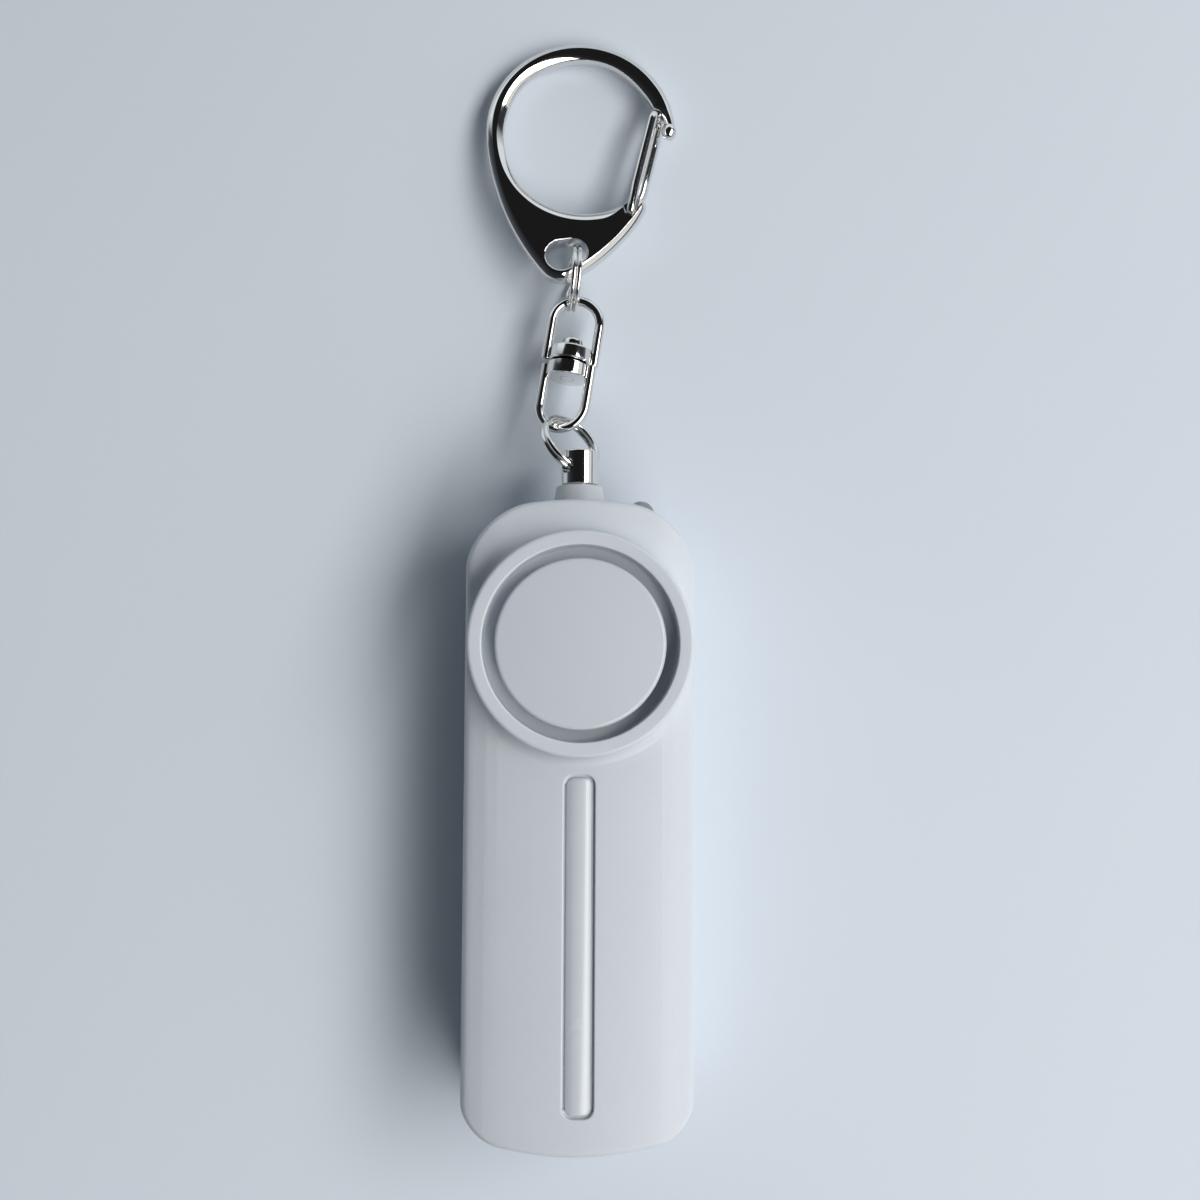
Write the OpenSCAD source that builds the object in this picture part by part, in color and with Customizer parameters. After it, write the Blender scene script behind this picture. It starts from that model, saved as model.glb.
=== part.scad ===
// Personal safety alarm: a white two-part case with a ring siren and a light strip,
// a pull pin, two split rings, a swivel and a snap clip. All sizes are in millimetres.
// +Y runs from the case to the clip, +Z out of the front, and the case lies on its back.
// The origin is the foot of the siren's axis on the flat back.

/* [Case] */
// Width of the case
case_width = 29.2; // [29:0.2:33]
// Length of the case
case_length = 81.7; // [81.5:0.1:88]
// Thickness of the case without the siren drum
case_depth = 19.5; // [19.5:0.25:20.5]
// From the siren's axis to the clip end of the case
case_top = 18.4; // [18.3:0.1:19]
// Wall thickness of both shells
wall = 1.7; // [1.5:0.1:1.8]
// Corner radius in the plan view at the clip end
corner_r = 8; // [7:0.5:9]
// Corner radius in the plan view at the other end
foot_corner_r = 4.6; // [4:0.2:6]
// Radius of the bowed ends
end_crown_r = 46; // [40:2:60]
// Radius of the bowed front
face_crown_r = 45; // [42:3:75]
// Rounding between the front and the sides
front_edge_r = 0.8; // [0.6:0.1:1.5]
// Rounding between the back and the sides
back_edge_r = 2.5; // [2:0.25:2.75]
// Height of the parting line and of the pin's axis above the back
split_z = 9.75; // [9.5:0.25:10]
// Gap between the two shells at the parting line
split_gap = 0.1; // [0.05:0.05:0.2]

/* [Siren] */
// Outer radius of the raised drum
drum_r = 14.25; // [13.75:0.25:14.5]
// Height of the drum above the front
drum_rise = 2; // [1.5:0.25:2.5]
// Rounding of the drum's outer edge
drum_edge_r = 0.6; // [0.3:0.1:0.9]
// Inner radius of the drum's lip
lip_r = 12.36; // [12.1:0.1:12.7]
// Radius of the siren cap
cap_r = 10.8; // [10.3:0.1:11]
// Thickness of the siren cap
cap_t = 1.3; // [1.1:0.1:1.5]
// Rounding of the cap's upper edge
cap_edge_r = 0.8; // [0.4:0.1:1]
// Depth of the cap's top below the drum's top
cap_drop = 0.25; // [0.1:0.05:0.4]
// Depth of the ring groove
groove_depth = 2.3; // [2.2:0.1:2.5]
// Radius of each sound port under the cap
port_r = 1.3; // [1:0.1:1.5]
// Number of sound ports
port_count = 6; // [4:1:8]
// Radius of the piezo plate
piezo_r = 10; // [9.5:0.25:10]

/* [Light strip] */
// Width of the slot
slot_width = 4.2; // [3.8:0.1:4.6]
// Length of the slot
slot_length = 42; // [38:1:43]
// Corner radius of the slot
slot_corner_r = 1.3; // [1:0.1:1.6]
// From the siren's axis to the slot's upper end
slot_top = 16.4; // [16:0.2:17]
// Gap between the strip and the slot
strip_gap = 0.4; // [0.3:0.05:0.5]
// Depth of the strip's crest below the front
strip_drop = 0.2; // [0.1:0.1:0.4]
// Radius across the strip's bowed top
strip_crown_r = 3.5; // [3:0.5:6]
// Number of LEDs under the strip
strip_led_count = 4; // [2:1:5]

/* [Pull pin] */
// Diameter of the pin's head
pin_d = 4.62; // [4.5:0.1:4.9]
// Length of the pin's head
pin_head = 4.9; // [4.7:0.1:5.2]
// Diameter of the pin's shank
shank_d = 3.5; // [3.3:0.1:3.5]
// Length of the pin's shank
shank_length = 11.35; // [11:0.05:11.4]
// Diameter of the cross hole
pin_hole_d = 2.3; // [2.3:0.05:2.5]
// From the pin's top to the cross hole
pin_hole_depth = 2.1; // [2:0.05:2.2]
// Turn of the cross hole about the pin's axis
pin_hole_turn = 49; // [45:1:55]
// How far the collar stands out of the case
collar_height = 2.75; // [2.6:0.05:2.9]
// Radius of the collar at the case
collar_foot_r = 3.6; // [3.4:0.05:3.8]
// Radius of the collar at the pin
collar_top_r = 3.05; // [2.9:0.05:3.2]
// Radius of the strobe LED
led_r = 1.5; // [1.5:0.1:1.7]
// Sideways place of the strobe LED
led_x = 8.2; // [7.6:0.1:8.4]
// How far the LED stands out past the case's end
led_rise = 1.3; // [1:0.1:1.6]

/* [Chain] */
// Mean radius of each split ring
ring_r = 4.2; // [4.15:0.05:4.3]
// Wire diameter of the split rings
ring_wire_d = 0.5; // [0.45:0.01:0.5]
// Distance between the centres of a split ring's two turns
ring_pitch = 0.92; // [0.92:0.01:0.96]
// Wire diameter of the swivel loops
loop_wire_d = 1.2; // [1.1:0.05:1.25]
// Mean radius of the swivel's bends
loop_bend_r = 3.3; // [3.2:0.05:3.5]
// From the swivel's middle to the wire centre of each bend
loop_reach = 9.3; // [9.2:0.1:9.6]
// Diameter of the swivel's two drums
ferrule_d = 5.9; // [5.7:0.1:6.1]
// Height of each drum
ferrule_h = 2; // [1.9:0.1:2.2]
// Diameter of the swivel rivet
rivet_d = 1.8; // [1.6:0.1:2]
// Droop of the lower ring from the pin's axis
lower_ring_droop = 30; // [28:1:32]

/* [Snap clip] */
// Thickness of the clip
clip_t = 3; // [2.8:0.1:3]
// Outer radius of the clip's ring
clip_ring_r = 13.25; // [13.2:0.05:13.5]
// Radius of the clip's round opening
clip_hole_r = 11.6; // [11.4:0.05:11.6]
// Radius of the clip's tip around the eye
clip_tip_r = 3.3; // [3.2:0.05:3.5]
// Radius of the bowed left flank
clip_flank_r = 34; // [31:1:44]
// Radius of the bowed right flank
clip_chin_r = 28; // [24:1:40]
// Wire diameter of the gate
gate_wire_d = 1.1; // [1:0.05:1.15]
// Length of the gate from its pivot
gate_length = 15.4; // [15.2:0.05:15.5]
// Lean of the closed gate from the clip's long axis
gate_lean = 13.4; // [12.5:0.1:13.5]
// How far the gate opens
gate_travel = 32; // [20:1:34]

/* [Hidden] */
$fn = 96;
over = 1;
half_width = case_width / 2;
half_length = case_length / 2;
mid_y = case_top - half_length;
end_y = case_top - case_length;
seat_gap = 0.05;
blend = 0.05;
inner_edge_r = 0.3;

drum_top = case_depth + drum_rise;
floor_z = drum_top - groove_depth;
floor_t = 1.5;
drum_foot_gap = 0.45;
chamber_r = 10.8;
cap_leg_r = 1;
cap_leg_ring_r = 8.4;
port_ring_r = 5.2;

piezo_drop = 2.15;
board_gap = 0.95;
board_t = 1.2;
board_half = half_width - wall - 1.1;
board_top = floor_z - floor_t - piezo_drop - board_gap;
board_z = board_top - board_t;
boss_r = 2.4;
boss_x = half_width - 4.8;
pilot_r = 0.97;
screw_r = 0.95;
head_r = 1.9;
head_h = 1.3;
head_sink = 0.25;

cell_r = 5.25;
cell_body = 43.7;
nub_r = 1.9;
nub_h = 0.8;
cell_x = 5.6;
cell_z = 7.45;
plate_t = 0.4;
plate_half = 3;
capacitor_r = 2.4;
capacitor_h = 5.5;
capacitor_at = [6.3, 3.1];
coil_r = 3.2;
coil_h = 4.5;
coil_flange = 0.8;
coil_at = [-6.6, 2.4];
plate_side = 3.8;
bay_low = end_y + 3.3;
spring_h = 2.5;
spring_r = 2.2;
spring_turns = 2.3;
bay_high = bay_low + 2 * plate_t + spring_h + cell_body + nub_h + 0.2;
divider_t = 1.2;
boss_gap = 0.3;
boss_ys = [case_top - 10.9, bay_high + divider_t + boss_r + boss_gap];

door_half = half_width - 3.2;
door_low = bay_low + 0.1;
door_high = bay_high - 0.2;
door_ledge = 1;
door_gap = 0.15;
door_plate = 0.9;
door_sink = 0.15;
lug_half = 4;
lug_high = door_high + 6.4;
lug_t = 1.55;
door_screw_y = door_high + 3.6;

strip_top = case_depth - strip_drop;
strip_foot = board_top + 1.5;
strip_mid = -slot_top - slot_length / 2;
flange_extra = 0.8;
flange_top = case_depth - wall - 0.3;

collar_top = case_top + collar_height;
collar_flange_y = case_top - wall - 2.4;
collar_flange_h = 2.2;
collar_flange_r = 4.2;
collar_bore_r = 1.95;
pin_foot = collar_top + 0.1;
pin_top = pin_foot + pin_head;
pin_end = pin_foot - shank_length;
hole_y = pin_top - pin_hole_depth;
oring_wire_r = 0.44;
oring_r = 1.46;
oring_y = case_top - 0.9;
plunger_r = 0.9;
switch_half = 3.2;
switch_low = 1.6;
switch_high = 8.2;

// Places of the chain's hinges, each worked out from the one before it.
lower_slack = 0.33;
lower_reach = 2 * ring_r - lower_slack;
lower_dir = [-sin(lower_ring_droop) * cos(pin_hole_turn), cos(lower_ring_droop),
             -sin(lower_ring_droop) * sin(pin_hole_turn)];
lower_far = [0, hole_y, split_z] + lower_reach * lower_dir;
swivel_pitch = -6.6;
swivel_yaw = -8.8;
lower_loop_spin = 20;
lower_link = 1.35;
upper_link = 1.26;
swivel_mid = loop_reach - lower_link;
swivel_x = [cos(swivel_yaw), sin(swivel_yaw), 0];
swivel_y = [-sin(swivel_yaw) * cos(swivel_pitch), cos(swivel_yaw) * cos(swivel_pitch),
            sin(swivel_pitch)];
upper_seat_x = -0.9;
upper_near = lower_far + upper_seat_x * swivel_x
           + (swivel_mid + loop_reach - upper_link) * swivel_y;
upper_yaw = -3.7;
upper_roll = 8;
upper_far = upper_near + 2 * ring_r * [-sin(upper_yaw), cos(upper_yaw), 0];
clip_pitch = -6;
ferrule_gap = 0.25;
rivet_slack = 0.05;
rivet_head_r = 1.5;
rivet_head_h = 1.6;

// The clip is drawn flat, with the upper ring's wire at its origin.
clip_ring_c = [0.6, 17.25];
clip_hole_c = [1, 16.5];
clip_tip_c = [-2.1, -1.65];
clip_ear_c = [8.35, 6.05];
clip_ear_r = 1.35;
eye_c = [-2.1, -1.45];
eye_r = 2.1;
eye_side_c = [-0.35, -0.95];
eye_side_r = 1.85;
nose_r = 0.75;
nose_v = 18;
lip_knob_r = 0.42;
gate_pivot = [7.5, 5.2];
gate_slack = 0.05;
gate_pin_r = gate_wire_d / 2 + 0.02;
gate_leg_z = clip_t / 2 - 0.1;
gate_foot_r = 0.7;
gate_splay = 0.2;
tongue_t = 1.4;
pocket_half = gate_wire_d / 2 + 0.2;
pocket_reach = 4;

// Frames

module along_y(x, z) {
    translate([x, 0, z]) rotate([-90, 0, 0]) children();
}

module at_lower_ring() {
    translate([0, hole_y, split_z])
        rotate([0, -pin_hole_turn, 0])
            rotate([0, 0, lower_ring_droop]) children();
}

module at_swivel() {
    translate(lower_far) rotate([swivel_pitch, 0, swivel_yaw]) children();
}

module at_upper_ring() {
    translate(upper_near) rotate([0, upper_roll, upper_yaw]) children();
}

module at_clip() {
    translate(upper_far) rotate([clip_pitch, 0, 0]) children();
}

// Shared shapes

function turned(a) = [cos(a), sin(a)];
function heading(v) = atan2(v[1], v[0]);
function opposite(points) = [for (p = points) -p];

// Points along an arc in even steps. The last one is left out where the next arc starts there.
function arc(centre, r, from, to, step = 12, last = 1) =
    let (steps = ceil(abs(to - from) / step))
    [for (i = [0:steps - 1 + last]) centre + r * turned(from + (to - from) * i / steps)];

// One half of an outline from right to left: rounded corners and a bowed end at reach.
function crowned_end(half_w, r, crown_r, reach) =
    let (crown_c = [0, reach - crown_r], corner_x = half_w - r,
         corner_y = crown_c[1] + sqrt(pow(crown_r - r, 2) - pow(corner_x, 2)),
         lean = atan2(corner_y - crown_c[1], corner_x))
    concat(arc([corner_x, corner_y], r, 0, lean, last = 0),
           arc(crown_c, crown_r, lean, 180 - lean, 5, 0),
           arc([-corner_x, corner_y], r, 180 - lean, 180));

// One half of an outline from right to left with a flat end.
function flat_end(half_w, r, reach) =
    concat(arc([half_w - r, reach - r], r, 0, 90), arc([r - half_w, reach - r], r, 90, 180));

module rounded_box(half_w, low, high, r) {
    translate([-half_w, low + r]) square([2 * half_w, high - low - 2 * r]);
    translate([r - half_w, low]) square([2 * (half_w - r), high - low]);
    for (x = [r - half_w, half_w - r], y = [low + r, high - r])
        translate([x, y]) circle(r);
}

// The case's outer form, or its hollow when inset by the wall. The cross section sets the
// width and the depth, the plan sets the length, and each overshoots a little elsewhere.
module case_form(inset) {
    half_w = half_width - inset;
    half_l = half_length - inset;
    back = split_z - inset;
    front = case_depth - split_z - inset;
    front_r = max(inner_edge_r, front_edge_r - inset);
    back_r = back_edge_r - inset / 2;
    clip_end = crowned_end(half_w + blend, corner_r - inset, end_crown_r - inset, half_l);
    foot_end = crowned_end(half_w + blend, foot_corner_r - inset, end_crown_r - inset, half_l);
    intersection() {
        translate([0, mid_y, -over]) linear_extrude(case_depth + 2 * over)
            polygon(concat(clip_end, opposite(foot_end)));
        translate([0, case_top + over, split_z]) rotate([90, 0, 0])
            linear_extrude(case_length + 2 * over)
                polygon(concat(crowned_end(half_w, front_r, face_crown_r - inset, front),
                               opposite(flat_end(half_w, back_r, back))));
        translate([-half_width - over, mid_y, split_z]) rotate([90, 0, 90])
            linear_extrude(case_width + 2 * over)
                polygon(concat(flat_end(half_l + blend, front_r, front + blend),
                               opposite(flat_end(half_l + blend, back_r, back + blend))));
    }
}

module layer(low, high) {
    translate([-case_width, end_y - over, low])
        cube([2 * case_width, case_length + 2 * over, high - low]);
}

module at_bosses() {
    for (x = [-boss_x, boss_x], y = boss_ys)
        translate([x, y, 0]) children();
}

// A round tube through a list of points, with one fixed direction across it.
module tube(points, r, across, sides = 8) {
    last = len(points) - 1;
    rings = [for (i = [0:last])
        let (ahead = points[min(i + 1, last)] - points[max(i - 1, 0)],
             side = cross(across, ahead / norm(ahead)))
        for (k = [0:sides - 1])
            points[i] + r * (cos(360 * k / sides) * across
                             + sin(360 * k / sides) * side / norm(side))];
    walls = [for (i = [0:last - 1], k = [0:sides - 1])
        let (a = i * sides + k, b = i * sides + (k + 1) % sides)
        each [[a, b, a + sides], [b, b + sides, a + sides]]];
    near_cap = [for (k = [sides - 1:-1:0]) k];
    far_cap = [for (k = [0:sides - 1]) last * sides + k];
    polyhedron(points = rings, faces = concat(walls, [near_cap], [far_cap]), convexity = 8);
}

// Case

module siren_drum() {
    foot = board_top + drum_foot_gap;
    rotate_extrude() {
        translate([0, foot]) square([drum_r, drum_top - drum_edge_r - foot]);
        translate([0, foot]) square([drum_r - drum_edge_r, drum_top - foot]);
        translate([drum_r - drum_edge_r, drum_top - drum_edge_r]) circle(drum_edge_r);
    }
}

module front_inside() {
    intersection() {
        case_form(wall / 3);
        union() {
            at_bosses() translate([0, 0, split_z - 1.55]) cylinder(r = boss_r, h = case_depth);
            for (x = [-6.5, 6.5])
                translate([x - 0.6, strip_mid - slot_length / 2, board_top + 0.1])
                    cube([1.2, slot_length, case_depth]);
        }
    }
}

module shell_openings() {
    along_y(0, split_z) translate([0, 0, collar_flange_y])
        cylinder(r = collar_foot_r + seat_gap, h = case_top);
    along_y(led_x, split_z) translate([0, 0, collar_flange_y])
        cylinder(r = led_r + 2 * seat_gap, h = case_top);
}

module front_shell() color("white") difference() {
    union() {
        difference() {
            case_form(0);
            case_form(wall);
            layer(-over, split_z + split_gap / 2);
        }
        siren_drum();
        front_inside();
    }
    translate([0, 0, floor_z]) cylinder(r = lip_r, h = case_depth);
    translate([0, 0, board_top + 0.1]) cylinder(r = chamber_r, h = floor_z - floor_t - board_top - 0.1);
    for (i = [0:port_count - 1])
        rotate(360 * i / port_count) translate([port_ring_r, 0, 0])
            cylinder(r = port_r, h = case_depth);
    for (i = [0:2])
        rotate(120 * i + 90) translate([cap_leg_ring_r, 0, floor_z - floor_t - over])
            cylinder(r = cap_leg_r + seat_gap, h = case_depth);
    translate([0, 0, case_depth - wall - over]) linear_extrude(case_depth)
        rounded_box(slot_width / 2, -slot_top - slot_length, -slot_top, slot_corner_r);
    at_bosses() cylinder(r = pilot_r, h = board_top + 0.2);
    shell_openings();
}

module door_outline(gap) {
    rounded_box(door_half + gap, door_low - gap, door_high + gap, 2 + gap);
    rounded_box(lug_half + gap, door_high - 2 * over, lug_high + gap, 2 * over + gap);
}

module bay_outline(gap) {
    rounded_box(door_half - door_ledge + gap, door_low + door_ledge - gap,
                door_high - door_ledge + gap, 1.2 + gap);
}

module rear_inside() {
    pad_t = 3.6;
    intersection() {
        case_form(wall / 3);
        union() {
            at_bosses() cylinder(r = boss_r, h = split_z - 1.75);
            translate([-half_width, end_y, 0])
                cube([case_width, bay_low - end_y, split_z - split_gap]);
            translate([-half_width, bay_high, 0])
                cube([case_width, divider_t, split_z - split_gap]);
            translate([-lug_half - 1.5, bay_high, 0])
                cube([2 * lug_half + 3, lug_high - bay_high + 1.5, pad_t]);
            translate([0, door_screw_y, 0]) cylinder(r = boss_r, h = split_z - 1.75);
        }
    }
}

module rear_shell() color("white") difference() {
    union() {
        difference() {
            case_form(0);
            case_form(wall);
            layer(split_z - split_gap / 2, case_depth + over);
        }
        rear_inside();
    }
    translate([0, 0, -over]) linear_extrude(over + door_sink + door_plate + seat_gap) door_outline(door_gap);
    translate([0, 0, -over]) linear_extrude(over + wall + over) bay_outline(door_gap);
    translate([0, 0, -over]) linear_extrude(over + door_sink + lug_t + seat_gap)
        rounded_box(lug_half + door_gap, door_high - over, lug_high + door_gap, over);
    translate([0, door_screw_y, 0]) cylinder(r = pilot_r, h = split_z - 3);
    at_bosses() {
        cylinder(r = screw_r + 0.2, h = split_z);
        translate([0, 0, -over]) cylinder(r = head_r + 0.2, h = over + head_sink + head_h);
    }
    shell_openings();
}

module battery_door() color("white") difference() {
    union() {
        translate([0, 0, door_sink]) linear_extrude(door_plate) door_outline(0);
        translate([0, 0, door_sink]) linear_extrude(wall - door_sink) bay_outline(0);
        translate([0, 0, door_sink]) linear_extrude(lug_t)
            rounded_box(lug_half, door_high - over / 2, lug_high, over);
        translate([-2, door_low + 0.4, wall + 0.1]) cube([4, 3, 0.8]);
        translate([-2, door_low + 1.4, wall / 2]) cube([4, 2, wall / 2 + 0.5]);
    }
    translate([0, door_screw_y, 0]) {
        cylinder(r = screw_r + 0.2, h = case_depth);
        translate([0, 0, -over]) cylinder(r = head_r + 0.2, h = over + head_sink + 1.05);
    }
}

module screw(head, length) difference() {
    union() {
        translate([0, 0, head_sink]) cylinder(r = head_r, h = head);
        cylinder(r = screw_r, h = length);
    }
    translate([0, 0, head_sink - over])
        for (a = [0, 90]) rotate(a) translate([-1.1, -0.25, 0]) cube([2.2, 0.5, over + 0.55]);
    translate([0, 0, -over]) cylinder(r = head_r, h = over + head_sink);
}

module case_screws() color("silver") at_bosses() screw(head_h - seat_gap, board_z);

module door_screw() color("silver") translate([0, door_screw_y, 0]) screw(1, split_z - 3.5);

module siren_cap() color("white") {
    top = drum_top - cap_drop;
    rotate_extrude() {
        translate([0, top - cap_t]) square([cap_r, cap_t - cap_edge_r]);
        translate([0, top - cap_t]) square([cap_r - cap_edge_r, cap_t]);
        translate([cap_r - cap_edge_r, top - cap_edge_r]) intersection() {
            circle(cap_edge_r);
            square(cap_edge_r);
        }
    }
    for (i = [0:2])
        rotate(120 * i + 90) translate([cap_leg_ring_r, 0, floor_z - floor_t + 0.2])
            cylinder(r = cap_leg_r, h = top - cap_t / 2 - floor_z + floor_t - 0.2);
}

module light_strip() color("ghostwhite") {
    half = slot_width / 2 - strip_gap;
    low = -slot_top - slot_length + strip_gap;
    high = -slot_top - strip_gap;
    intersection() {
        translate([0, 0, strip_foot]) linear_extrude(strip_top)
            rounded_box(half, low, high, slot_corner_r - strip_gap);
        along_y(0, strip_top - strip_crown_r) translate([0, 0, low - over])
            cylinder(r = strip_crown_r, h = slot_length + 2 * over);
    }
    translate([0, 0, strip_foot]) linear_extrude(flange_top - strip_foot)
        rounded_box(slot_width / 2 + flange_extra, low - 2 * flange_extra, high + 2 * flange_extra,
                    slot_corner_r);
}

module strobe_led() color("lightgray") along_y(led_x, split_z) {
    tip = case_top + led_rise;
    rotate_extrude() {
        translate([0, tip - 6.5]) square([led_r, 6.5 - led_r]);
        translate([0, tip - 7.2]) square([led_r + 0.35, 0.9]);
        translate([0, tip - led_r]) intersection() {
            circle(led_r);
            square(led_r);
        }
    }
}

module led_leads() color("silver") {
    foot = case_top + led_rise - 7.25;
    for (side = [-1, 1]) translate([led_x + side * 0.64 - 0.2, 0, 0]) {
        translate([0, foot - 0.8, split_z - 0.2]) cube([0.4, 0.8, 0.4]);
        translate([0, foot - 0.8, split_z - 0.2]) cube([0.4, 0.4, board_top + 0.5 - split_z]);
    }
}

module pin_collar() color("white") along_y(0, split_z) difference() {
    union() {
        translate([0, 0, collar_flange_y]) cylinder(r = collar_flange_r, h = collar_flange_h);
        translate([0, 0, collar_flange_y]) cylinder(r = collar_foot_r, h = case_top - collar_flange_y);
        translate([0, 0, case_top]) cylinder(r1 = collar_foot_r, r2 = collar_top_r, h = collar_height);
    }
    cylinder(r = collar_bore_r, h = case_length);
}

module circuit_board() color("seagreen") translate([0, 0, board_z]) difference() {
    linear_extrude(board_t) rounded_box(board_half, bay_low + 1, case_top - 5.5, 1.5);
    translate([0, 0, -over]) at_bosses() cylinder(r = boss_r + 0.3, h = board_t + 2 * over);
    for (side = [-1, 1])
        translate([led_x + side * 0.64 - 0.35, case_top + led_rise - 8.2, -over])
            cube([0.7, 0.7, board_t + 2 * over]);
}

module strip_leds() color("khaki")
    for (i = [0:strip_led_count - 1])
        translate([-1.4, strip_mid + (i + 0.5 - strip_led_count / 2) * slot_length / strip_led_count - 1.75,
                   board_top])
            cube([2.8, 3.5, 1.1]);

module boost_coil() color("dimgray") translate([coil_at.x, coil_at.y, board_z - coil_h]) difference() {
    cylinder(r = coil_r, h = coil_h);
    translate([0, 0, coil_flange]) rotate_extrude() translate([coil_r - coil_flange, 0])
        square([coil_r, coil_h - 2 * coil_flange]);
}

module driver_chip() color("black") {
    translate([-2.5, -6, board_z - 1.4]) cube([5, 5, 1.3]);
    for (i = [0:3], side = [-1, 1])
        translate([side * 3 - 0.5, -5.6 + 1.27 * i, board_z - 0.3]) cube([1, 0.4, 0.3]);
}

module capacitor() color("steelblue")
    translate([capacitor_at.x, capacitor_at.y, board_z - capacitor_h])
        cylinder(r = capacitor_r, h = capacitor_h);

module sounder_seat() color("dimgray") {
    seat_low = floor_z - floor_t - 2;
    translate([0, 0, seat_low]) difference() {
        cylinder(r = piezo_r + 0.6, h = 2);
        translate([0, 0, -over]) cylinder(r = piezo_r - 0.8, h = 2 + 2 * over);
        translate([0, 0, -over]) cylinder(r = piezo_r + seat_gap, h = over + 0.3);
    }
}

module piezo_plate() color("goldenrod")
    translate([0, 0, floor_z - floor_t - 1.95]) cylinder(r = piezo_r, h = 0.25);

module piezo_ceramic() color("ivory")
    translate([0, 0, floor_z - floor_t - piezo_drop]) cylinder(r = 0.7 * piezo_r, h = 0.2);

module pin_switch() color("dimgray") difference() {
    translate([-switch_half, switch_low, split_z - 2.6])
        cube([2 * switch_half, switch_high - switch_low, board_z - split_z + 2.6]);
    along_y(0, split_z) translate([0, 0, switch_low + over])
        cylinder(r = plunger_r + seat_gap, h = switch_high);
}

module switch_plunger() color("ivory") along_y(0, split_z)
    translate([0, 0, switch_low + 2]) cylinder(r = plunger_r, h = pin_end - 0.1 - switch_low - 2);

// A cell whose nub points along +Y when up is 1 and along -Y when it is -1.
module cell(x, body_low, up) along_y(x, cell_z) translate([0, 0, body_low]) {
    cylinder(r = cell_r, h = cell_body);
    translate([0, 0, up > 0 ? cell_body - over : -nub_h]) cylinder(r = nub_r, h = nub_h + over);
}

module battery_left() color("slategray")
    cell(-cell_x, bay_low + plate_t + spring_h + 0.1, 1);

module battery_right() color("slategray")
    cell(cell_x, bay_low + plate_t + nub_h + 0.1, -1);

// A round coil spring along +Y whose two ends lie flat and run straight off.
module spring_coil() {
    wire_r = 0.25;
    rise = spring_h - 2 * wire_r;
    per_turn = 24;
    steps = per_turn * spring_turns;
    points = [for (i = [0:steps])
        let (a = 360 * i / per_turn)
        [spring_r * cos(a), wire_r + rise * i / steps, spring_r * sin(a)]];
    tail = points[steps] + 2 * wire_r * [-sin(360 * spring_turns), 0, cos(360 * spring_turns)];
    head = points[0] + 2 * wire_r * [0, 0, -1];
    tube(concat([head], points, [tail]), wire_r, [0, 1, 0], 6);
}

module contact_springs() color("silver") {
    translate([-cell_x, bay_low + plate_t + seat_gap, cell_z]) spring_coil();
    translate([cell_x, bay_high - plate_t - spring_h - seat_gap, cell_z]) spring_coil();
}

module contact_plates() color("silver") {
    low = cell_z - 2 * plate_half / 1.5;
    translate([-cell_x - plate_side, bay_low, low])
        cube([2 * (cell_x + plate_side), plate_t, 2 * plate_half]);
    for (x = [-cell_x, cell_x])
        translate([x - plate_half, bay_high - plate_t, low])
            cube([2 * plate_half, plate_t, 2 * plate_half]);
}

// Pin and chain

module pull_pin() color("silver") difference() {
    along_y(0, split_z) difference() {
        union() {
            translate([0, 0, pin_foot]) cylinder(d = pin_d, h = pin_head - 0.25);
            translate([0, 0, pin_top - 0.25]) cylinder(d1 = pin_d, d2 = pin_d - 0.5, h = 0.25);
            translate([0, 0, pin_end + 0.5]) cylinder(d = shank_d, h = shank_length);
            translate([0, 0, pin_end]) cylinder(d1 = shank_d - 1, d2 = shank_d, h = 0.5);
        }
        translate([0, 0, oring_y - oring_wire_r - seat_gap]) rotate_extrude()
            translate([oring_r - oring_wire_r, 0]) square([over, 2 * (oring_wire_r + seat_gap)]);
    }
    translate([0, hole_y, split_z]) rotate([0, -pin_hole_turn, 0])
        cylinder(d = pin_hole_d, h = 2 * pin_d, center = true);
}

module pin_oring() color("black") along_y(0, split_z) translate([0, 0, oring_y])
    rotate_extrude() translate([oring_r + seat_gap / 2, 0]) circle(oring_wire_r);

// A double-turn split ring in the YZ plane, standing on the origin towards +Y.
// It crosses from one turn to the other in a short ramp, where only one strand runs.
function ring_shift(a) =
    let (s = min(1, max(0, (a - 345) / 30)))
    ring_pitch * (s * s * (3 - 2 * s) - 0.5);

module split_ring(turn) {
    step = 11;
    wire_r = ring_wire_d / 2;
    points = [for (a = [30:step:690])
        [ring_shift(a), ring_r * cos(a), ring_r * sin(a)]];
    last = len(points) - 1;
    head = points[0] + ring_wire_d * [0, sin(30), -cos(30)];
    tail = points[last] + ring_wire_d * [0, -sin(690), cos(690)];
    translate([0, ring_r, 0]) rotate([turn, 0, 0])
        tube(concat([head], points, [tail]), wire_r, [1, 0, 0]);
}

module lower_split_ring() color("silver")
    at_lower_ring() translate([0, -lower_slack, 0]) split_ring(90);

module upper_split_ring() color("silver") at_upper_ring() split_ring(-90);

// One swivel half from its middle out to the bend, along +Y.
module swivel_half(bore_r) difference() {
    leg = loop_reach - loop_bend_r;
    union() {
        translate([0, leg, 0]) rotate_extrude(angle = 180)
            translate([loop_bend_r, 0]) circle(d = loop_wire_d);
        for (side = [-1, 1])
            along_y(side * loop_bend_r, 0) translate([0, 0, ferrule_gap / 2])
                cylinder(d = loop_wire_d, h = leg - ferrule_gap / 2);
        along_y(0, 0) translate([0, 0, ferrule_gap / 2]) cylinder(d = ferrule_d, h = ferrule_h);
    }
    along_y(0, 0) cylinder(r = bore_r, h = ferrule_h + over);
}

module swivel_lower_loop() color("silver")
    at_swivel() translate([0, swivel_mid, 0]) rotate([0, lower_loop_spin, 180])
        swivel_half(rivet_d / 2 + 0.02);

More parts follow.
